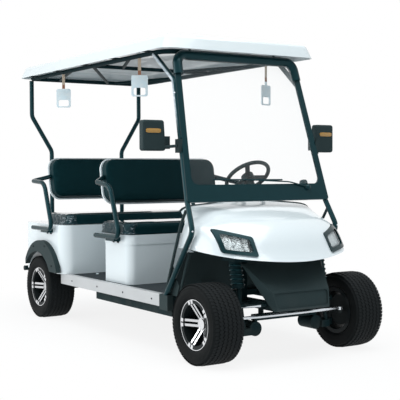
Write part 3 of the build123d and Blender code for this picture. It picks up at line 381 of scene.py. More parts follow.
def wheel_alloy():
    """Machined spokes, rim edge and spoke ends; satin black in the pockets and barrel."""
    finish = Finish("machined_and_black_alloy", Specular_IOR_Level=0.12)
    out = abs(finish.facing().part(1))
    where = finish.point()
    axle_x = where.part(0).step(0.1, 0.2) * (front_x - rear_x) + rear_x
    along, up = where.part(0) - axle_x, where.part(2) - tyre_radius
    radius = (along * along + up * up) ** 0.5
    turn = up.join("ARCTAN2", up, along) * spoke_pairs
    fold = -turn.join("COSINE", turn)
    out_from = abs(where.part(1)) - wheel_y
    proud = out_from.step(0.032, 0.036) * out_from.step(0.0830, 0.0815)
    spoke_end = fold.step(0.55, 0.66) * fold.step(0.992, 0.982)
    rim_face = out_from.step(0.084, 0.086) * radius.step(0.1378, 0.1386).high(spoke_end)
    cut = out.step(0.80, 0.93) * (proud * radius.step(0.1275, 0.1265)).high(rim_face)
    turned = finish.grain(1.0, 1.0, finish.point((900, 60, 900)))
    bright = finish.mix((0.72, 0.74, 0.76), (0.85, 0.86, 0.88), turned)
    dark = finish.mix((0.008, 0.012, 0.013), (0.014, 0.018, 0.020), finish.grain(20.0))
    finish.set("Base Color", finish.mix(dark, bright, cut))
    finish.set("Metallic", cut * 1.0)
    finish.set("Roughness", 0.38 - cut * 0.2 + turned * 0.05)
    finish.set("Normal", finish.bump(turned, 0.00004, 0.4))
    return finish.material


def cast_dark():
    finish = Finish("cast_iron", Specular_IOR_Level=0.15)
    cloud = finish.grain(18.0, 5.0)
    base = finish.mix((0.010, 0.016, 0.017), (0.022, 0.026, 0.027), cloud)
    rusty = finish.grain(30.0, 6.0).step(0.62, 0.8)
    finish.set("Base Color", finish.mix(base, (0.07, 0.045, 0.03), rusty * 0.25))
    finish.set("Roughness", 0.55 + cloud * 0.2)
    finish.set("Normal", finish.bump(finish.grain(160.0, 5.0), 0.0006, 0.6))
    return finish.material


def plated_steel():
    """Zinc-plated rod, lightly marked."""
    finish = Finish("plated_steel", Metallic=1.0)
    line = finish.grain(1.0, 2.0, finish.point((300, 20, 300)))
    finish.set("Base Color", finish.mix((0.55, 0.60, 0.64), (0.72, 0.76, 0.80), line))
    finish.set("Roughness", 0.18 + line * 0.12)
    finish.set("Normal", finish.bump(finish.grain(260.0, 2.0), 0.0001, 0.4))
    return finish.material


def pale_plastic():
    finish = Finish("pale_label_plastic", Coat_Weight=0.4)
    height = finish.point().part(2)
    cloud = finish.grain(30.0, 2.0)
    plate = finish.mix((0.78, 0.87, 0.90), (0.70, 0.86, 0.93), cloud.step(0.3, 0.7) * 0.8)
    strap = finish.mix((0.62, 0.50, 0.38), (0.34, 0.13, 0.06), height.step(1.726, 1.715))
    weave = (height * 2600).wave() * 0.5 + 0.5
    woven = finish.mix(strap, (0.2, 0.13, 0.09), weave * 0.25)
    finish.set("Base Color", finish.mix(plate, woven, height.step(1.690, 1.693)))
    finish.set("Roughness", 0.3 + cloud * 0.1 + height.step(1.690, 1.693) * 0.4)
    finish.set("Normal", finish.bump(finish.grain(200.0), 0.00008, 0.4))
    return finish.material


def seat_vinyl():
    """Black vinyl with a leather grain, and clear film on the cushions' ends with painted sheen and
    highlights on its creases.
    """
    finish = Finish("black_seat_vinyl", Specular_IOR_Level=0.12, Specular_Tint=cool_sheen)
    cloud = finish.grain(8.0, 4.0)
    grain = finish.cells(420.0, None, "DISTANCE_TO_EDGE")
    seat_top = finish.facing().part(2).step(0.80, 0.97)
    where = finish.point()
    wide = abs(where.part(1)) + (finish.grain(14.0, 3.0) - 0.5) * 0.10
    low_seat = where.part(2).step(0.82, 0.80)
    film_and_sheen = wide.step(film_start, film_start + 0.012) * low_seat
    # the film on the ends is real, but its lighter tone is painted sheen and its pale crease
    # streaks are painted highlights
    creases = finish.grain(20.0, 3.0, finish.point((1.0, 0.6, 1.6)), 0.55)
    crease_highlight = abs(creases - 0.5).step(0.022, 0.0) * finish.grain(13.0, 2.0).step(0.47, 0.60)
    base = finish.mix((0.002, 0.017, 0.020), (0.004, 0.024, 0.028), cloud)
    lit_film_colour = finish.mix((0.016, 0.034, 0.040), (0.38, 0.43, 0.46), crease_highlight)
    finish.set("Base Color", finish.mix(base, lit_film_colour, film_and_sheen))
    finish.set("Roughness", (0.36 + cloud * 0.12) * (1 - seat_top * 0.80) * (1 - film_and_sheen * 0.55))
    finish.set("Coat Weight", seat_top * 0.8)
    folds = finish.bump(creases * film_and_sheen, 0.012, 0.9)
    pores = grain.step(0.0, 0.25) * (1 - film_and_sheen) * (1 - seat_top)
    finish.set("Normal", finish.bump(pores, 0.0003, 0.3, folds))
    return finish.material


def battery_plastic():
    finish = Finish("battery_case", Specular_IOR_Level=0.3)
    # painted shade: the narrow grooves between the cells are coloured darker as well as sunk by the
    # bump
    groove_and_shade = (finish.point().part(1) * (2 * pi / 0.13)).wave().step(-0.98, -0.9)
    finish.set("Base Color", finish.mix((0.004, 0.004, 0.004), (0.02, 0.02, 0.022), groove_and_shade))
    finish.set("Roughness", 0.5 + finish.grain(40.0) * 0.1)
    finish.set("Normal", finish.bump(groove_and_shade, 0.002, 0.5))
    return finish.material


def lamp_mirror():
    """Vapour-coated reflector with moulded facets."""
    finish = Finish("faceted_reflector", Metallic=1.0)
    spot = finish.cells(150.0)
    share = finish.grain(60.0, 3.0)
    bright = share.step(0.3, 0.5)
    finish.set("Base Color", finish.mix((0.40, 0.45, 0.47), (0.78, 0.83, 0.85), bright))
    finish.set("Roughness", 0.16 + spot * 0.2)
    finish.set("Normal", finish.bump(spot, 0.004, 0.8))
    return finish.material


def amber_lens():
    finish = Finish("amber_lens", Coat_Weight=0.8, Coat_Roughness=0.03, Roughness=0.25)
    rib = (finish.point().part(1) * 1400).wave()
    finish.set("Base Color", finish.mix((0.36, 0.17, 0.010), (0.46, 0.23, 0.015), rib * 0.5 + 0.5))
    finish.set("Normal", finish.bump(rib, 0.0005, 0.5))
    return finish.material


def silvered():
    finish = Finish("mirror_silver", Metallic=1.0, Base_Color=(0.86, 0.88, 0.89))
    finish.set("Roughness", 0.02 + finish.grain(30.0, 4.0).step(0.6, 0.8) * 0.03)
    return finish.material


finishes = {
    "white_shell": shell_white(
        # the third colour is painted shade on the shell's downward faces
        "white_gel_coat", (0.79, 0.865, 0.895), (0.83, 0.895, 0.915), (0.69, 0.73, 0.75)
    ),
    "black_tube": tube_black(),
    "frame_paint": frame_black(),
    "seat_vinyl": seat_vinyl(),
    "dark_trim": moulded_dark(),
    "floor_mat": floor_rubber(),
    "sill_alloy": brushed_alloy(),
    "lamp_black": lamp_black(),
    "lamp_clear": clear_pane("lamp_cover", (0.97, 0.98, 0.98), 0.8),
    "tail_red": red_lens(),
    "screen_clear": clear_pane("screen_pane", (0.996, 1.0, 1.0), 0.25),
    "tyre_rubber": tyre_rubber(),
    "wheel_alloy": wheel_alloy(),
    "cast_iron": cast_dark(),
    "bright_steel": plated_steel(),
    "handle_plastic": pale_plastic(),
    "battery_case": battery_plastic(),
}
for part in frame["record"]["subparts"]:
    node = frame["nodes"][part["node"]]
    node.data.materials.clear()
    node.data.materials.append(finishes[part["material_slot"]])
own_finishes = {
    "front_posts": post_painted_sheen(),
    "roof_frame": canopy_paint(),
    # the third colour is painted light: the roof's underside is made lighter than its top, standing
    # in for light bounced up from the floor
    "roof_shell": shell_white(
        "roof_gel_coat", (0.63, 0.70, 0.72), (0.67, 0.73, 0.75), (0.86, 0.89, 0.90)
    ),
}
for node_name, own_finish in own_finishes.items():
    frame["nodes"][node_name].data.materials[0] = own_finish

# ==================== mesh tools
def piece(name, mesh, slot, body=chassis, finish=None, smooth=True):
    """A finished mesh as a piece that rides on a body, in the finish of its slot."""
    made = bpy.data.objects.new(name, mesh)
    mesh.name = name
    scene.collection.objects.link(made)
    mesh.materials.clear()
    mesh.materials.append(finish or finishes[slot])
    if smooth:
        mesh.shade_smooth()
    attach(made, body)
    return made


def sharpen(mesh, angle=35.0):
    """Smooth faces with creases left sharp past the angle."""
    mesh.shade_smooth()
    mesh.set_sharp_from_angle(angle=radians(angle))


def frame_at(place, way, roll=0.0):
    """Matrix that takes +Z to way and the origin to place."""
    turn = Vector(way).to_track_quat("Z", "Y").to_matrix().to_4x4()
    return Matrix.Translation(place) @ turn @ Matrix.Rotation(roll, 4, "Z")


def lathe(profile, steps=32, closed=False):
    """A profile of (radius, height) pairs turned around Z."""
    shape = bmesh.new()
    rings = []
    for radius, height in profile:
        if radius < 1e-6:
            rings.append([shape.verts.new((0, 0, height))])
        else:
            rings.append([
                shape.verts.new((
                    radius * cos(2 * pi * step / steps), radius * sin(2 * pi * step / steps), height
                ))
                for step in range(steps)
            ])
    pairs = list(zip(rings, rings[1:])) + ([(rings[-1], rings[0])] if closed else [])
    for low, high in pairs:
        for step in range(steps):
            after = (step + 1) % steps
            corners = [low[step % len(low)], low[after % len(low)],
                       high[after % len(high)], high[step % len(high)]]
            shape.faces.new(list(dict.fromkeys(corners)))
    bmesh.ops.recalc_face_normals(shape, faces=shape.faces)
    mesh = bpy.data.meshes.new("turned")
    shape.to_mesh(mesh)
    shape.free()
    return mesh


def slab(outline, depth, bevel=0.0, steps=3):
    """A flat outline in XY given depth along +Z, its edges rounded by bevel."""
    shape = bmesh.new()
    low = [shape.verts.new((x, y, 0)) for x, y in outline]
    face = shape.faces.new(low)
    grown = bmesh.ops.extrude_face_region(shape, geom=[face])
    bmesh.ops.translate(
        shape, vec=(0, 0, depth),
        verts=[v for v in grown["geom"] if isinstance(v, bmesh.types.BMVert)],
    )
    if bevel:
        bmesh.ops.bevel(
            shape, geom=shape.edges[:], offset=bevel, segments=steps, affect="EDGES", profile=0.5
        )
    bmesh.ops.recalc_face_normals(shape, faces=shape.faces)
    mesh = bpy.data.meshes.new("slab")
    shape.to_mesh(mesh)
    shape.free()
    return mesh


def block(width, height):
    """Corners of a rectangle about the origin."""
    return [(-width / 2, -height / 2), (width / 2, -height / 2),
            (width / 2, height / 2), (-width / 2, height / 2)]


def oval(width, height, steps=40, power=2.0):
    """An oval, or with a higher power a rounded rectangle, about the origin."""
    points = []
    for step in range(steps):
        turn = 2 * pi * step / steps
        c, s = cos(turn), sin(turn)
        points.append((
            width / 2 * abs(c) ** (2 / power) * (1 if c >= 0 else -1),
            height / 2 * abs(s) ** (2 / power) * (1 if s >= 0 else -1),
        ))
    return points


def rod(points, radius, bend=0.02, steps=6):
    """A round bar along the points, its corners eased by bend."""
    curve = bpy.data.curves.new("rod", "CURVE")
    curve.dimensions = "3D"
    curve.bevel_depth = radius
    curve.bevel_resolution = 3
    curve.use_fill_caps = True
    route = [Vector(p) for p in points]
    eased = [route[0]]
    for before, corner, after in zip(route, route[1:], route[2:]):
        into, out = (before - corner), (after - corner)
        start = corner + into.normalized() * min(bend, into.length / 2)
        end = corner + out.normalized() * min(bend, out.length / 2)
        for step in range(steps + 1):
            t = step / steps
            eased.append(start * (1 - t) ** 2 + corner * 2 * t * (1 - t) + end * t ** 2)
    eased.append(route[-1])
    spline = curve.splines.new("POLY")
    spline.points.add(len(eased) - 1)
    for made, place in zip(spline.points, eased):
        made.co = (*place, 1)
    holder = bpy.data.objects.new("rod", curve)
    mesh = bpy.data.meshes.new_from_object(holder)
    bpy.data.objects.remove(holder)
    bpy.data.curves.remove(curve)
    return mesh


def joined(meshes, matrices=None):
    """Several meshes as one."""
    shape = bmesh.new()
    for index, mesh in enumerate(meshes):
        if matrices:
            mesh.transform(matrices[index])
        shape.from_mesh(mesh)
    whole = bpy.data.meshes.new("joined")
    shape.to_mesh(whole)
    shape.free()
    return whole


# ==================== geometry-node layouts
class Layout:
    """A Geometry Nodes tree with named inputs, grown into plain meshes."""

    kinds = {int: "NodeSocketInt", float: "NodeSocketFloat", tuple: "NodeSocketVector",
             bpy.types.Object: "NodeSocketObject", bpy.types.Material: "NodeSocketMaterial"}

    def __init__(self, name, **sizes):
        self.tree = bpy.data.node_groups.new(name, "GeometryNodeTree")
        faces = self.tree.interface
        faces.new_socket("Geometry", in_out="OUTPUT", socket_type="NodeSocketGeometry")
        faces.new_socket("Geometry", in_out="INPUT", socket_type="NodeSocketGeometry")
        self.sizes = sizes
        self.keys = {
            label: faces.new_socket(
                label, in_out="INPUT", socket_type=self.kinds[type(value)]
            ).identifier
            for label, value in sizes.items()
        }
        self.entry = self.tree.nodes.new("NodeGroupInput")
        self.exit = self.tree.nodes.new("NodeGroupOutput")

    def size(self, label):
        return self.entry.outputs[label]

    def node(self, kind, settings=None, values=None, output=0):
        made = self.tree.nodes.new(kind)
        for name, value in (settings or {}).items():
            setattr(made, name, value)
        for label, value in (values or {}).items():
            if isinstance(value, bpy.types.NodeSocket):
                self.tree.links.new(value, made.inputs[label])
            else:
                made.inputs[label].default_value = value
        return made.outputs[output]

    def end(self, geometry):
        """Close the tree: real faces in the finish."""
        real = self.node("GeometryNodeRealizeInstances", {}, {"Geometry": geometry})
        done = self.node(
            "GeometryNodeSetMaterial", {}, {"Geometry": real, "Material": self.size("Finish")}
        )
        self.tree.links.new(done, self.exit.inputs[0])

    def grow(self, start=None, **changes):
        holder = bpy.data.objects.new("holder", start or bpy.data.meshes.new("start"))
        scene.collection.objects.link(holder)
        layout = holder.modifiers.new("layout", "NODES")
        layout.node_group = self.tree
        for label, key in self.keys.items():
            layout[key] = changes.get(label, self.sizes[label])
        seen = holder.evaluated_get(bpy.context.evaluated_depsgraph_get())
        mesh = bpy.data.meshes.new_from_object(seen)
        bpy.data.objects.remove(holder)
        return mesh


def pattern(name, mesh):
    """An object that layouts repeat; it isn't linked to the scene."""
    return bpy.data.objects.new(name, mesh)


# A screw or bolt head on every point, turned to the point's way.
screw_head = pattern("screw_head", lathe(
    [(0.0, 0.20), (0.34, 0.20), (0.40, 0.52), (0.62, 0.50), (0.86, 0.34), (1.0, 0.0), (1.0, -0.5)],
    14,
))
hex_head = pattern("hex_head", lathe(
    [(0.0, 0.9), (0.72, 0.9), (1.0, 0.72), (1.0, 0.12), (1.28, 0.12), (1.28, -0.4)], 6
))
fasteners = Layout("fasteners", Head=screw_head, Size=0.006, Finish=finishes["dark_trim"])
way = fasteners.node(
    "GeometryNodeInputNamedAttribute", {"data_type": "FLOAT_VECTOR"}, {"Name": "way"}
)
head = fasteners.node(
    "GeometryNodeObjectInfo", {}, {"Object": fasteners.size("Head")}, "Geometry"
)
turned = fasteners.node("FunctionNodeAlignRotationToVector", {"axis": "Z"}, {"Vector": way})
fasteners.end(fasteners.node("GeometryNodeInstanceOnPoints", {}, {
    "Points": fasteners.size("Geometry"), "Instance": head, "Rotation": turned,
    "Scale": fasteners.size("Size"),
}))

# One item all the way round a circle in XY, its own X pointing outwards.
ring = Layout(
    "ring", Item=screw_head, Count=8, Radius=0.05, Phase=0.0, Finish=finishes["dark_trim"]
)
points = ring.node("GeometryNodeMeshCircle", {}, {
    "Vertices": ring.size("Count"), "Radius": ring.size("Radius")
})
index = ring.node("GeometryNodeInputIndex")
turn = ring.node("ShaderNodeMath", {"operation": "DIVIDE"}, {0: index, 1: ring.size("Count")})
angle = ring.node("ShaderNodeMath", {"operation": "MULTIPLY"}, {0: turn, 1: 2 * pi})
upright = ring.node("ShaderNodeCombineXYZ", {}, {"Z": angle})
item = ring.node("GeometryNodeObjectInfo", {}, {"Object": ring.size("Item")}, "Geometry")
laid = ring.node("GeometryNodeInstanceOnPoints", {}, {
    "Points": points, "Instance": item, "Rotation": upright
})
phase = ring.node("ShaderNodeCombineXYZ", {}, {"Z": ring.size("Phase")})
ring.end(ring.node("GeometryNodeTransform", {}, {"Geometry": laid, "Rotation": phase}))

# A wound spring along +Z.
coil = Layout(
    "coil", Turns=6.0, Radius=0.037, Length=0.14, Wire=0.0055, Finish=finishes["black_tube"]
)
helix = coil.node("GeometryNodeCurveSpiral", {}, {
    "Resolution": 24, "Rotations": coil.size("Turns"), "Start Radius": coil.size("Radius"),
    "End Radius": coil.size("Radius"), "Height": coil.size("Length"),
})
wire = coil.node(
    "GeometryNodeCurvePrimitiveCircle", {}, {"Resolution": 8, "Radius": coil.size("Wire")}
)
coil.end(coil.node("GeometryNodeCurveToMesh", {}, {
    "Curve": helix, "Profile Curve": wire, "Fill Caps": True
}))


def fastened(name, rows, size, slot, body=chassis, head=screw_head, both_sides=True):
    """Fasteners at (place, way) rows, and at their mirror places on the cart's left."""
    if both_sides:
        rows = rows + [((x, -y, z), (a, -b, c)) for (x, y, z), (a, b, c) in rows]
    start = bpy.data.meshes.new("places")
    start.from_pydata([place for place, _ in rows], [], [])
    ways = start.attributes.new("way", "FLOAT_VECTOR", "POINT")
    ways.data.foreach_set("vector", [part for _, direction in rows for part in direction])
    mesh = fasteners.grow(start, Head=head, Size=size, Finish=finishes[slot])
    sharpen(mesh)
    return piece(name, mesh, slot, body, smooth=False)


# ==================== tyres and wheels
groove_depth = 0.0045
carcass_profile = (
    # radius, distance out from the middle plane
    (0.128, -0.080), (0.143, -0.081), (0.150, -0.093), (0.156, -0.0975), (0.162, -0.0985),
    (0.178, -0.1020), (0.196, -0.1015), (0.206, -0.0985), (0.2085, -0.0995), (0.2120, -0.0960),
    (0.2185, -0.0895), (0.2220, -0.0820), (0.2254, -0.0660), (0.2258, 0.0),
)
tread_rows = (
    # distance out, block length, slant, outer radius, share of a pitch ahead
    (-0.0830, 0.021, 8, 0.2262, 0.0),
    (-0.0560, 0.025, 32, 0.2294, 0.5),
    (-0.0280, 0.025, -32, 0.2298, 0.0),
    (0.0, 0.025, 32, 0.2298, 0.5),
    (0.0280, 0.025, -32, 0.2298, 0.0),
    (0.0560, 0.025, 32, 0.2294, 0.5),
    (0.0830, 0.021, -8, 0.2262, 0.0),
)
blocks_round = 66
block_share = 0.87
mirrored_profile = [(radius, -out) for radius, out in reversed(carcass_profile[:-1])]
lug_circle = 0.0508
lug_count = 4
drum_face = 0.014
lug_nut = pattern("lug_nut", lathe(
    [(0.0, 0.009), (0.0062, 0.009), (0.0088, 0.0065), (0.0088, 0.0), (0.0115, 0.0)], 6
))
valve_profile = [(0.0, 0.030), (0.0032, 0.030), (0.0036, 0.014), (0.0052, 0.012), (0.0060, 0.0)]
row_blocks = []
for out, length, slant, outer, ahead in tread_rows:
    pitch = 2 * pi * outer / blocks_round
    blank = slab(block(pitch * block_share, length), groove_depth, 0.0012, 1)
    blank.transform(
        Matrix.Rotation(radians(slant), 4, "X") @ Matrix.Rotation(radians(90), 4, "Y")
        @ Matrix.Rotation(radians(90), 4, "Z")
    )
    row_blocks.append(pattern("tread_block", blank))
for wheel_name, axle_x, side in wheels:
    body = f"wheel_{wheel_name}"
    seat = Matrix.Translation((axle_x, side * wheel_y, tyre_radius)) @ Matrix.Rotation(
        radians(-90 * side), 4, "X"
    )
    carcass = lathe([*carcass_profile, *mirrored_profile], 96)
    sharpen(carcass, 50)
    parts = [carcass]
    for (out, length, slant, outer, ahead), blank in zip(tread_rows, row_blocks):
        row = ring.grow(
            Item=blank, Count=blocks_round, Radius=outer - groove_depth,
            Phase=2 * pi * ahead / blocks_round, Finish=finishes["tyre_rubber"],
        )
        row.transform(Matrix.Translation((0, 0, out)))
        parts.append(row)
    tyre_mesh = joined(parts)
    tyre_mesh.transform(seat)
    tyre = piece(f"tread_tyre_{wheel_name}", tyre_mesh, "tyre_rubber", body, smooth=False)
    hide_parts(f"tyre_{wheel_name}")

    nuts = ring.grow(
        Item=lug_nut, Count=lug_count, Radius=lug_circle, Phase=0.4, Finish=finishes["bright_steel"]
    )
    nuts.transform(seat @ Matrix.Translation((0, 0, drum_face)))
    piece(f"lug_nuts_{wheel_name}", nuts, "bright_steel", body, smooth=False)
    valve = lathe(valve_profile, 12)
    valve_lean = Matrix.Rotation(-0.35, 4, "Y")
    valve.transform(seat @ Matrix.Translation((0.109, 0.022, 0.045)) @ valve_lean)
    piece(f"valve_{wheel_name}", valve, "cast_iron", body)

# ==================== front springs
shock_top = Vector((front_x - 0.032, 0.306, 0.588))
shock_foot = Vector((front_x + 0.058, 0.303, 0.180))
spring_share = 0.43
for side_name, side in (("left", 1), ("right", -1)):
    flip = Vector((1, side, 1))
    top, foot = shock_top * flip, shock_foot * flip
    run = (foot - top) * spring_share
    spring = coil.grow(Turns=5.5, Length=run.length - 0.036)
    spring.transform(frame_at(top + run.normalized() * 0.03, run))
    piece(f"front_coil_spring_{side_name}", spring, "black_tube", smooth=True)

arm_height = 0.312
for side_name, side in (("left", 1), ("right", -1)):
    sleeve = rod([
        (front_x + 0.022, side * 0.354, arm_height),
        (front_x + 0.112, side * 0.222, arm_height + 0.010)
    ], 0.0105)
    piece(f"upper_arm_sleeve_{side_name}", sleeve, "bright_steel")

# ==================== screws and bolts
sill_out = 0.560
flare_out = 0.622
fastened("sill_screws", [
    ((front_x - behind, -sill_out, 0.315), (0, -1, 0)) for behind in (1.665, 1.274, 0.910, 0.542)
], 0.0062, "cast_iron")
fastened("flare_screws", [
    ((front_x - behind, -flare_out, height), (0, -1, 0))
    for behind, height in ((2.206, 0.529), (2.003, 0.542), (1.882, 0.406))
], 0.0075, "cast_iron")
fastened("mat_button", [((front_x - 1.665, -0.36, 0.352), (0, 0, 1))], 0.011, "handle_plastic",
         both_sides=False)
fastened("roof_frame_screws", [
    ((front_x - behind, -0.527, 1.8115), (0, 0, -1)) for behind in (0.62, 1.05, 1.48, 1.94, 2.40)
], 0.008, "cast_iron")
fastened("head_tube_bolts", [
    ((front_x - 0.437, -0.346, 1.8135), (0.1, 0, 1)),
    ((front_x - 0.437, 0.288, 1.8135), (0.1, 0, 1)),
], 0.0085, "black_tube", head=hex_head, both_sides=False)
fastened("armrest_bolts", [
    ((front_x - 1.080 - shift, -box_side - 0.001, height), (0, -1, 0))
    for shift, box_side, height in ((0.0, 0.500, 0.626), (0.88, 0.585, 0.640))
] + [
    ((front_x - 1.140 - shift, -box_side - 0.001, height), (0, -1, 0))
    for shift, box_side, height in ((0.0, 0.500, 0.626), (0.88, 0.585, 0.640))
], 0.0085, "cast_iron", head=hex_head)
fastened("post_bolts", [
    ((front_x - 0.1078, -0.5386, 0.742), (0.84, -0.54, 0.05)),
    ((front_x - 0.380, -0.4870, 1.5487), (0.85, -0.52, 0.1)),
], 0.0055, "bright_steel")

# ==================== upholstery
# Each pad is swollen as cloth from its plain solid, then its seams are pulled in.
pads = (
    # name, node, front part, where its held side lies, fill
    ("front_cushion", "cushions", True, "below", 0.8),
    ("rear_cushion", "cushions", False, "below", 0.8),
    ("front_backrest_pad", "backrests", True, "behind", 0.75),
    ("rear_backrest_pad", "backrests", False, "behind", 0.75),
)
row_split_x = front_x - 1.62
pad_voxel = 0.008
pad_pressure = 4.0
pad_frames = 20
pad_swell_cap = 0.004
pad_shrink = 0.003
seam_depth = 0.0035
seam_half = 0.004
cushion_seam_drop = 0.020
back_lean = radians(10)
back_normal = Vector((cos(back_lean), 0, sin(back_lean)))
back_seam_out = 0.044


def points_of(mesh):
    places = np.empty(len(mesh.vertices) * 3)
    mesh.vertices.foreach_get("co", places)
    return places.reshape(-1, 3)


def normals_of(mesh):
    ways = np.empty(len(mesh.vertices) * 3)
    mesh.vertex_normals.foreach_get("vector", ways)
    return ways.reshape(-1, 3)


def baked(holder):
    """The holder's mesh with its modifiers applied; the holder goes."""
    seen = holder.evaluated_get(bpy.context.evaluated_depsgraph_get())
    mesh = bpy.data.meshes.new_from_object(seen)
    bpy.data.objects.remove(holder)
    return mesh


def pad_blank(node, ahead):
    """One seat row's solid as an even closed mesh, a little smaller than the solid."""
    shape = bmesh.new()
    shape.from_mesh(frame["nodes"][node].data)
    bmesh.ops.remove_doubles(shape, verts=shape.verts, dist=1e-5)
    away = [v for v in shape.verts if (v.co.x > row_split_x) != ahead]
    bmesh.ops.delete(shape, geom=away, context="VERTS")
    mesh = bpy.data.meshes.new("blank")
    shape.to_mesh(mesh)
    shape.free()
    holder = bpy.data.objects.new("blank", mesh)
    scene.collection.objects.link(holder)
    remesh = holder.modifiers.new("even", "REMESH")
    remesh.mode = "VOXEL"
    remesh.voxel_size = pad_voxel
    remesh.use_smooth_shade = True
    return baked(holder)


def held_share(places, side):
    """1 on the side that rests on its seat or shell, 0 past a few millimetres from it."""
    depth = places[:, 2] if side == "below" else places @ np.array(back_normal)
    return np.clip(1 - (depth - depth.min() - 0.004) / 0.010, 0, 1)


def swollen(mesh, side):
    """The pad blown up as cloth, its held side kept in place."""
    start = points_of(mesh)
    held = held_share(start, side)
    holder = bpy.data.objects.new("pad", mesh)
    scene.collection.objects.link(holder)
    group = holder.vertex_groups.new(name="held")
    for index in np.flatnonzero(held > 0.5):
        group.add([int(index)], 1.0, "REPLACE")
    cloth = holder.modifiers.new("cloth", "CLOTH")
    cloth.settings.vertex_group_mass = "held"
    cloth.settings.use_pressure = True
    cloth.settings.uniform_pressure_force = pad_pressure
    cloth.settings.effector_weights.gravity = 0
    cloth.settings.quality = 4
    cloth.settings.tension_stiffness = 12
    cloth.settings.compression_stiffness = 12
    cloth.settings.shear_stiffness = 5
    cloth.settings.bending_stiffness = 0.8
    cloth.point_cache.frame_start = 1
    cloth.point_cache.frame_end = pad_frames
    for number in range(1, pad_frames + 1):
        scene.frame_set(number)
    mesh = baked(holder)
    scene.frame_set(1)
    moved = points_of(mesh) - start
    far = np.linalg.norm(moved, axis=1, keepdims=True)
    moved *= np.minimum(1, pad_swell_cap / np.maximum(far, 1e-9))
    mesh.vertices.foreach_set("co", (start + moved).ravel())
    mesh.update()
    return mesh


def crowned(mesh, side):
    """Crown the sitting face and pull the sides in towards the seams."""
    places, ways = points_of(mesh), normals_of(mesh)
    low, high = places.min(axis=0), places.max(axis=0)
    centre, half = (low + high) / 2, (high - low) / 2
    held = held_share(places, side)
    across = np.abs((places[:, 1] - centre[1]) / half[1])
    if side == "below":
        along = np.abs((places[:, 0] - centre[0]) / half[0])
        depth = places[:, 2] - low[2]
        seam = depth.max() - cushion_seam_drop
    else:
        deep = places @ np.array(back_normal)
        up = places @ np.array((-sin(back_lean), 0, cos(back_lean)))
        along = np.abs((up - (up.min() + up.max()) / 2) / ((up.max() - up.min()) / 2))
        depth = deep - deep.min()
        seam = back_seam_out
    dome = (1 - along ** 3) * (1 - across ** 6)
    lift = 0.002 * np.clip(dome, 0, 1) * (depth > seam) - pad_shrink
    rim = np.maximum(along, across) > 0.86
    groove = seam_depth * np.exp(-((depth - seam) / seam_half) ** 2) * rim
    places += ways * ((lift - groove) * (1 - held))[:, None]
    mesh.vertices.foreach_set("co", places.ravel())
    mesh.update()
    return mesh


def finished_pad(mesh):
    holder = bpy.data.objects.new("pad", mesh)
    scene.collection.objects.link(holder)
    ease = holder.modifiers.new("ease", "SMOOTH")
    ease.factor = 0.5
    ease.iterations = 3
    finer = holder.modifiers.new("finer", "SUBSURF")
    finer.levels = finer.render_levels = 1
    return baked(holder)


for name, node, ahead, side, fill in pads:
    pad_mesh = finished_pad(crowned(swollen(pad_blank(node, ahead), side), side))
    pad = piece(name, pad_mesh, "seat_vinyl")
    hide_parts(node)

# ==================== lamps
lamp_depth = 0.013
lamp_grid = 26
lamp_corners = ((0.283, 0.616), (0.280, 0.699), (0.427, 0.735), (0.428, 0.641))


def cast_tree(node):
    """A search tree of a node's faces."""
    shape = bmesh.new()
    shape.from_mesh(frame["nodes"][node].data)
    tree = BVHTree.FromBMesh(shape)
    shape.free()
    return tree


def cast_patch(tree, corners, sink, bowl, side):
    """A grid over a four-cornered window, laid behind the surface that is ahead of it."""
    rows = []
    low_in, high_in, high_out, low_out = [Vector((side * y, z)) for y, z in corners]
    shape = bmesh.new()
    for i in range(lamp_grid + 1):
        row = []
        for j in range(lamp_grid + 1):
            u, v = i / lamp_grid, j / lamp_grid
            spot = (low_in.lerp(low_out, u)).lerp(high_in.lerp(high_out, u), v)
            hit = tree.ray_cast(Vector((front_x + 0.5, spot.x, spot.y)), Vector((-1, 0, 0)))[0]
            ahead = hit.x if hit else (row[-1].co.x + sink + bowl(u, v) if row else front_x)
            row.append(shape.verts.new((ahead - sink - bowl(u, v), spot.x, spot.y)))
        rows.append(row)
    for low, high in zip(rows, rows[1:]):
        for j in range(lamp_grid):
            shape.faces.new((low[j], high[j], high[j + 1], low[j + 1]))
    bmesh.ops.recalc_face_normals(shape, faces=shape.faces)
    if sum(f.normal.x for f in shape.faces) < 0:
        bmesh.ops.reverse_faces(shape, faces=shape.faces)
    mesh = bpy.data.meshes.new("patch")
    shape.to_mesh(mesh)
    shape.free()
    return mesh


def three_bowls(u, v):
    """Depth of three round reflectors side by side."""
    spot = (u * 3) % 1 - 0.5
    far = sqrt(spot * spot + (v - 0.5) ** 2) / 0.5
    return 0.011 * max(0.0, 1 - far * far) - 0.003 * (far > 1.0)


lens_tree = cast_tree("lamp_lenses")
for side_name, side in (("left", 1), ("right", -1)):
    bowls = cast_patch(lens_tree, lamp_corners, lamp_depth, three_bowls, side)
    holder = bpy.data.objects.new("bowls", bowls)
    scene.collection.objects.link(holder)
    wall = holder.modifiers.new("wall", "SOLIDIFY")
    wall.thickness = 0.002
    piece(f"lamp_reflector_{side_name}", baked(holder), "bright_steel", finish=lamp_mirror())

# ==================== mirrors
mirror_front = front_x - 0.353
mirror_back = front_x - 0.399
for side_name, side in (("left", 1), ("right", -1)):
    amber = slab(oval(0.100, 0.026, 32, 5.0), 0.004, 0.0012, 2)
    amber.transform(
        Matrix.Translation((mirror_front - 0.0005, side * 0.650, 1.321))
        @ Matrix.Rotation(radians(90), 4, "Y") @ Matrix.Rotation(radians(90), 4, "Z")
    )
    sharpen(amber)
    piece(f"amber_marker_{side_name}", amber, "tail_red", finish=amber_lens())
    glass = slab(oval(0.128, 0.150, 40, 6.0), 0.002, 0.0006, 1)
    glass.transform(
        Matrix.Translation((mirror_back - 0.0015, side * 0.645, 1.293))
        @ Matrix.Rotation(radians(90), 4, "Y") @ Matrix.Rotation(radians(90), 4, "Z")
    )
    sharpen(glass)
    piece(f"mirror_glass_{side_name}", glass, "bright_steel", finish=silvered())

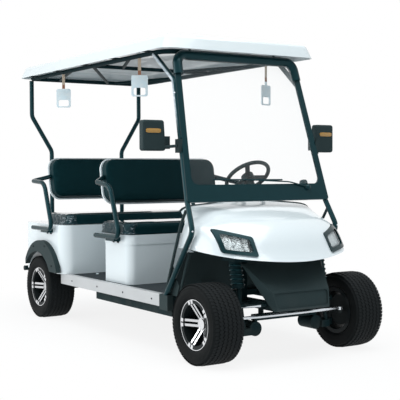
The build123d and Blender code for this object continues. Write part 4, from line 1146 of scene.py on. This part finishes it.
# ==================== wiper
wiper_pivot = Vector((front_x - 0.198, 0.372, 0.980))
wiper_tip = Vector((front_x - 0.212, -0.330, 1.034))
wiper_knee = Vector((front_x - 0.200, 0.230, 1.017))
blade_start = Vector((front_x - 0.209, 0.180, 1.0295))
hinge = lathe([(0.0, 0.020), (0.012, 0.019), (0.017, 0.012), (0.018, 0.0), (0.022, -0.004)], 24)
arm_end = wiper_tip * 0.5 + blade_start * 0.5
arm = rod([wiper_pivot + Vector((0.008, 0, 0.003)), wiper_knee, arm_end], 0.0042)
blade = rod([blade_start, wiper_tip], 0.0048)
motor = slab(oval(0.090, 0.050, 24, 4.0), 0.030, 0.006, 2)
wiper = joined([hinge, arm, blade, motor], [
    frame_at(wiper_pivot, (1, 0, 0.28)), Matrix.Identity(4), Matrix.Identity(4),
    frame_at(wiper_pivot + Vector((-0.048, 0, 0.0)), (1, 0, 0.28), radians(90)),
])
sharpen(wiper, 50)
piece("screen_wiper", wiper, "black_tube", smooth=False)

# ==================== floor, light and camera
floor_mesh = bpy.data.meshes.new("studio_floor")
floor_half = 14.0
shadow_lift = 0.86              # how far the floor near the cart is lifted towards white
floor_corners = [
    (across * floor_half, along * floor_half, 0)
    for across, along in ((-1, -1), (1, -1), (1, 1), (-1, 1))
]
floor_mesh.from_pydata(floor_corners, [], [(0, 1, 2, 3)])
floor = bpy.data.objects.new("studio_floor", floor_mesh)
scene.collection.objects.link(floor)
floor_finish = Finish(
    "studio_floor", Base_Color=(0.93, 0.93, 0.93), Roughness=0.9, Specular_IOR_Level=0.0
)
floor_glow = floor_finish.tree.nodes.new("ShaderNodeEmission")
floor_glow.inputs["Color"].default_value = (1, 1, 1, 1)
floor_join = floor_finish.tree.nodes.new("ShaderNodeMixShader")
floor_rays = floor_finish.tree.nodes.new("ShaderNodeLightPath")
camera_ray, glossy_ray, through_ray = (
    Wire(floor_finish, floor_rays.outputs[label])
    for label in ("Is Camera Ray", "Is Glossy Ray", "Is Transmission Ray")
)
floor_spot = floor_finish.point((0.55, 1.0, 1.0))
floor_far = floor_finish.node(
    "ShaderNodeVectorMath", {"operation": "LENGTH"}, (floor_spot,), "Value"
)
floor_share = floor_far.step(0.7, 1.5) * (1 - shadow_lift) + shadow_lift
floor_seen = camera_ray.high(glossy_ray).high(through_ray)
floor_finish.plug(floor_join.inputs[0], floor_share.low(1.0) * floor_seen)
floor_finish.tree.links.new(floor_finish.shader.outputs[0], floor_join.inputs[1])
floor_finish.tree.links.new(floor_glow.outputs[0], floor_join.inputs[2])
floor_finish.tree.links.new(floor_join.outputs[0], floor_finish.output.inputs["Surface"])
floor_mesh.materials.append(floor_finish.material)

world = bpy.data.worlds.new("studio")
scene.world = world
world.use_nodes = True
world_tree = world.node_tree
world_tree.nodes.clear()
rays = world_tree.nodes.new("ShaderNodeLightPath")
seen = world_tree.nodes.new("ShaderNodeMath")
seen.operation = "MAXIMUM"
world_tree.links.new(rays.outputs["Is Camera Ray"], seen.inputs[0])
shiny = world_tree.nodes.new("ShaderNodeMath")
shiny.operation = "MAXIMUM"
world_tree.links.new(rays.outputs["Is Glossy Ray"], shiny.inputs[0])
world_tree.links.new(rays.outputs["Is Transmission Ray"], shiny.inputs[1])
world_tree.links.new(shiny.outputs[0], seen.inputs[1])
level = world_tree.nodes.new("ShaderNodeMapRange")
level.inputs["To Min"].default_value = 0.40
level.inputs["To Max"].default_value = 1.0
world_tree.links.new(seen.outputs[0], level.inputs["Value"])
sky = world_tree.nodes.new("ShaderNodeBackground")
sky_mix = world_tree.nodes.new("ShaderNodeMix")
sky_mix.data_type = "RGBA"
sky_mix.inputs[6].default_value = (0.86, 0.99, 1.06, 1)
sky_mix.inputs[7].default_value = (1, 1, 1, 1)
world_tree.links.new(seen.outputs[0], sky_mix.inputs[0])
world_tree.links.new(sky_mix.outputs[2], sky.inputs["Color"])
world_tree.links.new(level.outputs[0], sky.inputs["Strength"])
world_out = world_tree.nodes.new("ShaderNodeOutputWorld")
world_tree.links.new(sky.outputs[0], world_out.inputs["Surface"])


def soft_box(name, place, aim, width, height, power):
    """A large soft lamp at a place, turned to its aim."""
    light = bpy.data.lights.new(name, "AREA")
    light.shape = "RECTANGLE"
    light.size = width
    light.size_y = height
    light.energy = power
    lamp = bpy.data.objects.new(name, light)
    lamp.location = place
    lamp.rotation_euler = (Vector(aim) - Vector(place)).to_track_quat("-Z", "Y").to_euler()
    scene.collection.objects.link(lamp)


soft_box("overhead_light", (1.2, -0.6, 4.6), (0.1, 0.0, 0.6), 5.0, 4.0, 176)
soft_box("right_light", (-0.6, -5.0, 2.2), (-0.2, 0.0, 0.8), 4.5, 3.0, 80)
soft_box("strip_light", (-4.2, -5.4, 2.4), (0.0, 0.0, 0.9), 0.35, 4.0, 55)

eye = Vector((front_x + 4.4133, -3.4029, 1.0803))
across = Vector((0.542001, 0.840367, -0.004246))
upward = Vector((-0.022705, 0.019693, 0.999548))
focal_pixels = 946.0
picture_width = 400
camera_data = bpy.data.cameras.new("camera")
camera_data.sensor_width = 36.0
camera_data.lens = focal_pixels / picture_width * camera_data.sensor_width
camera = bpy.data.objects.new("camera", camera_data)
camera.matrix_world = Matrix.Translation(eye) @ Matrix(
    (across, upward, across.cross(upward))
).transposed().to_4x4()
scene.collection.objects.link(camera)
scene.camera = camera
scene.view_settings.view_transform = "Standard"
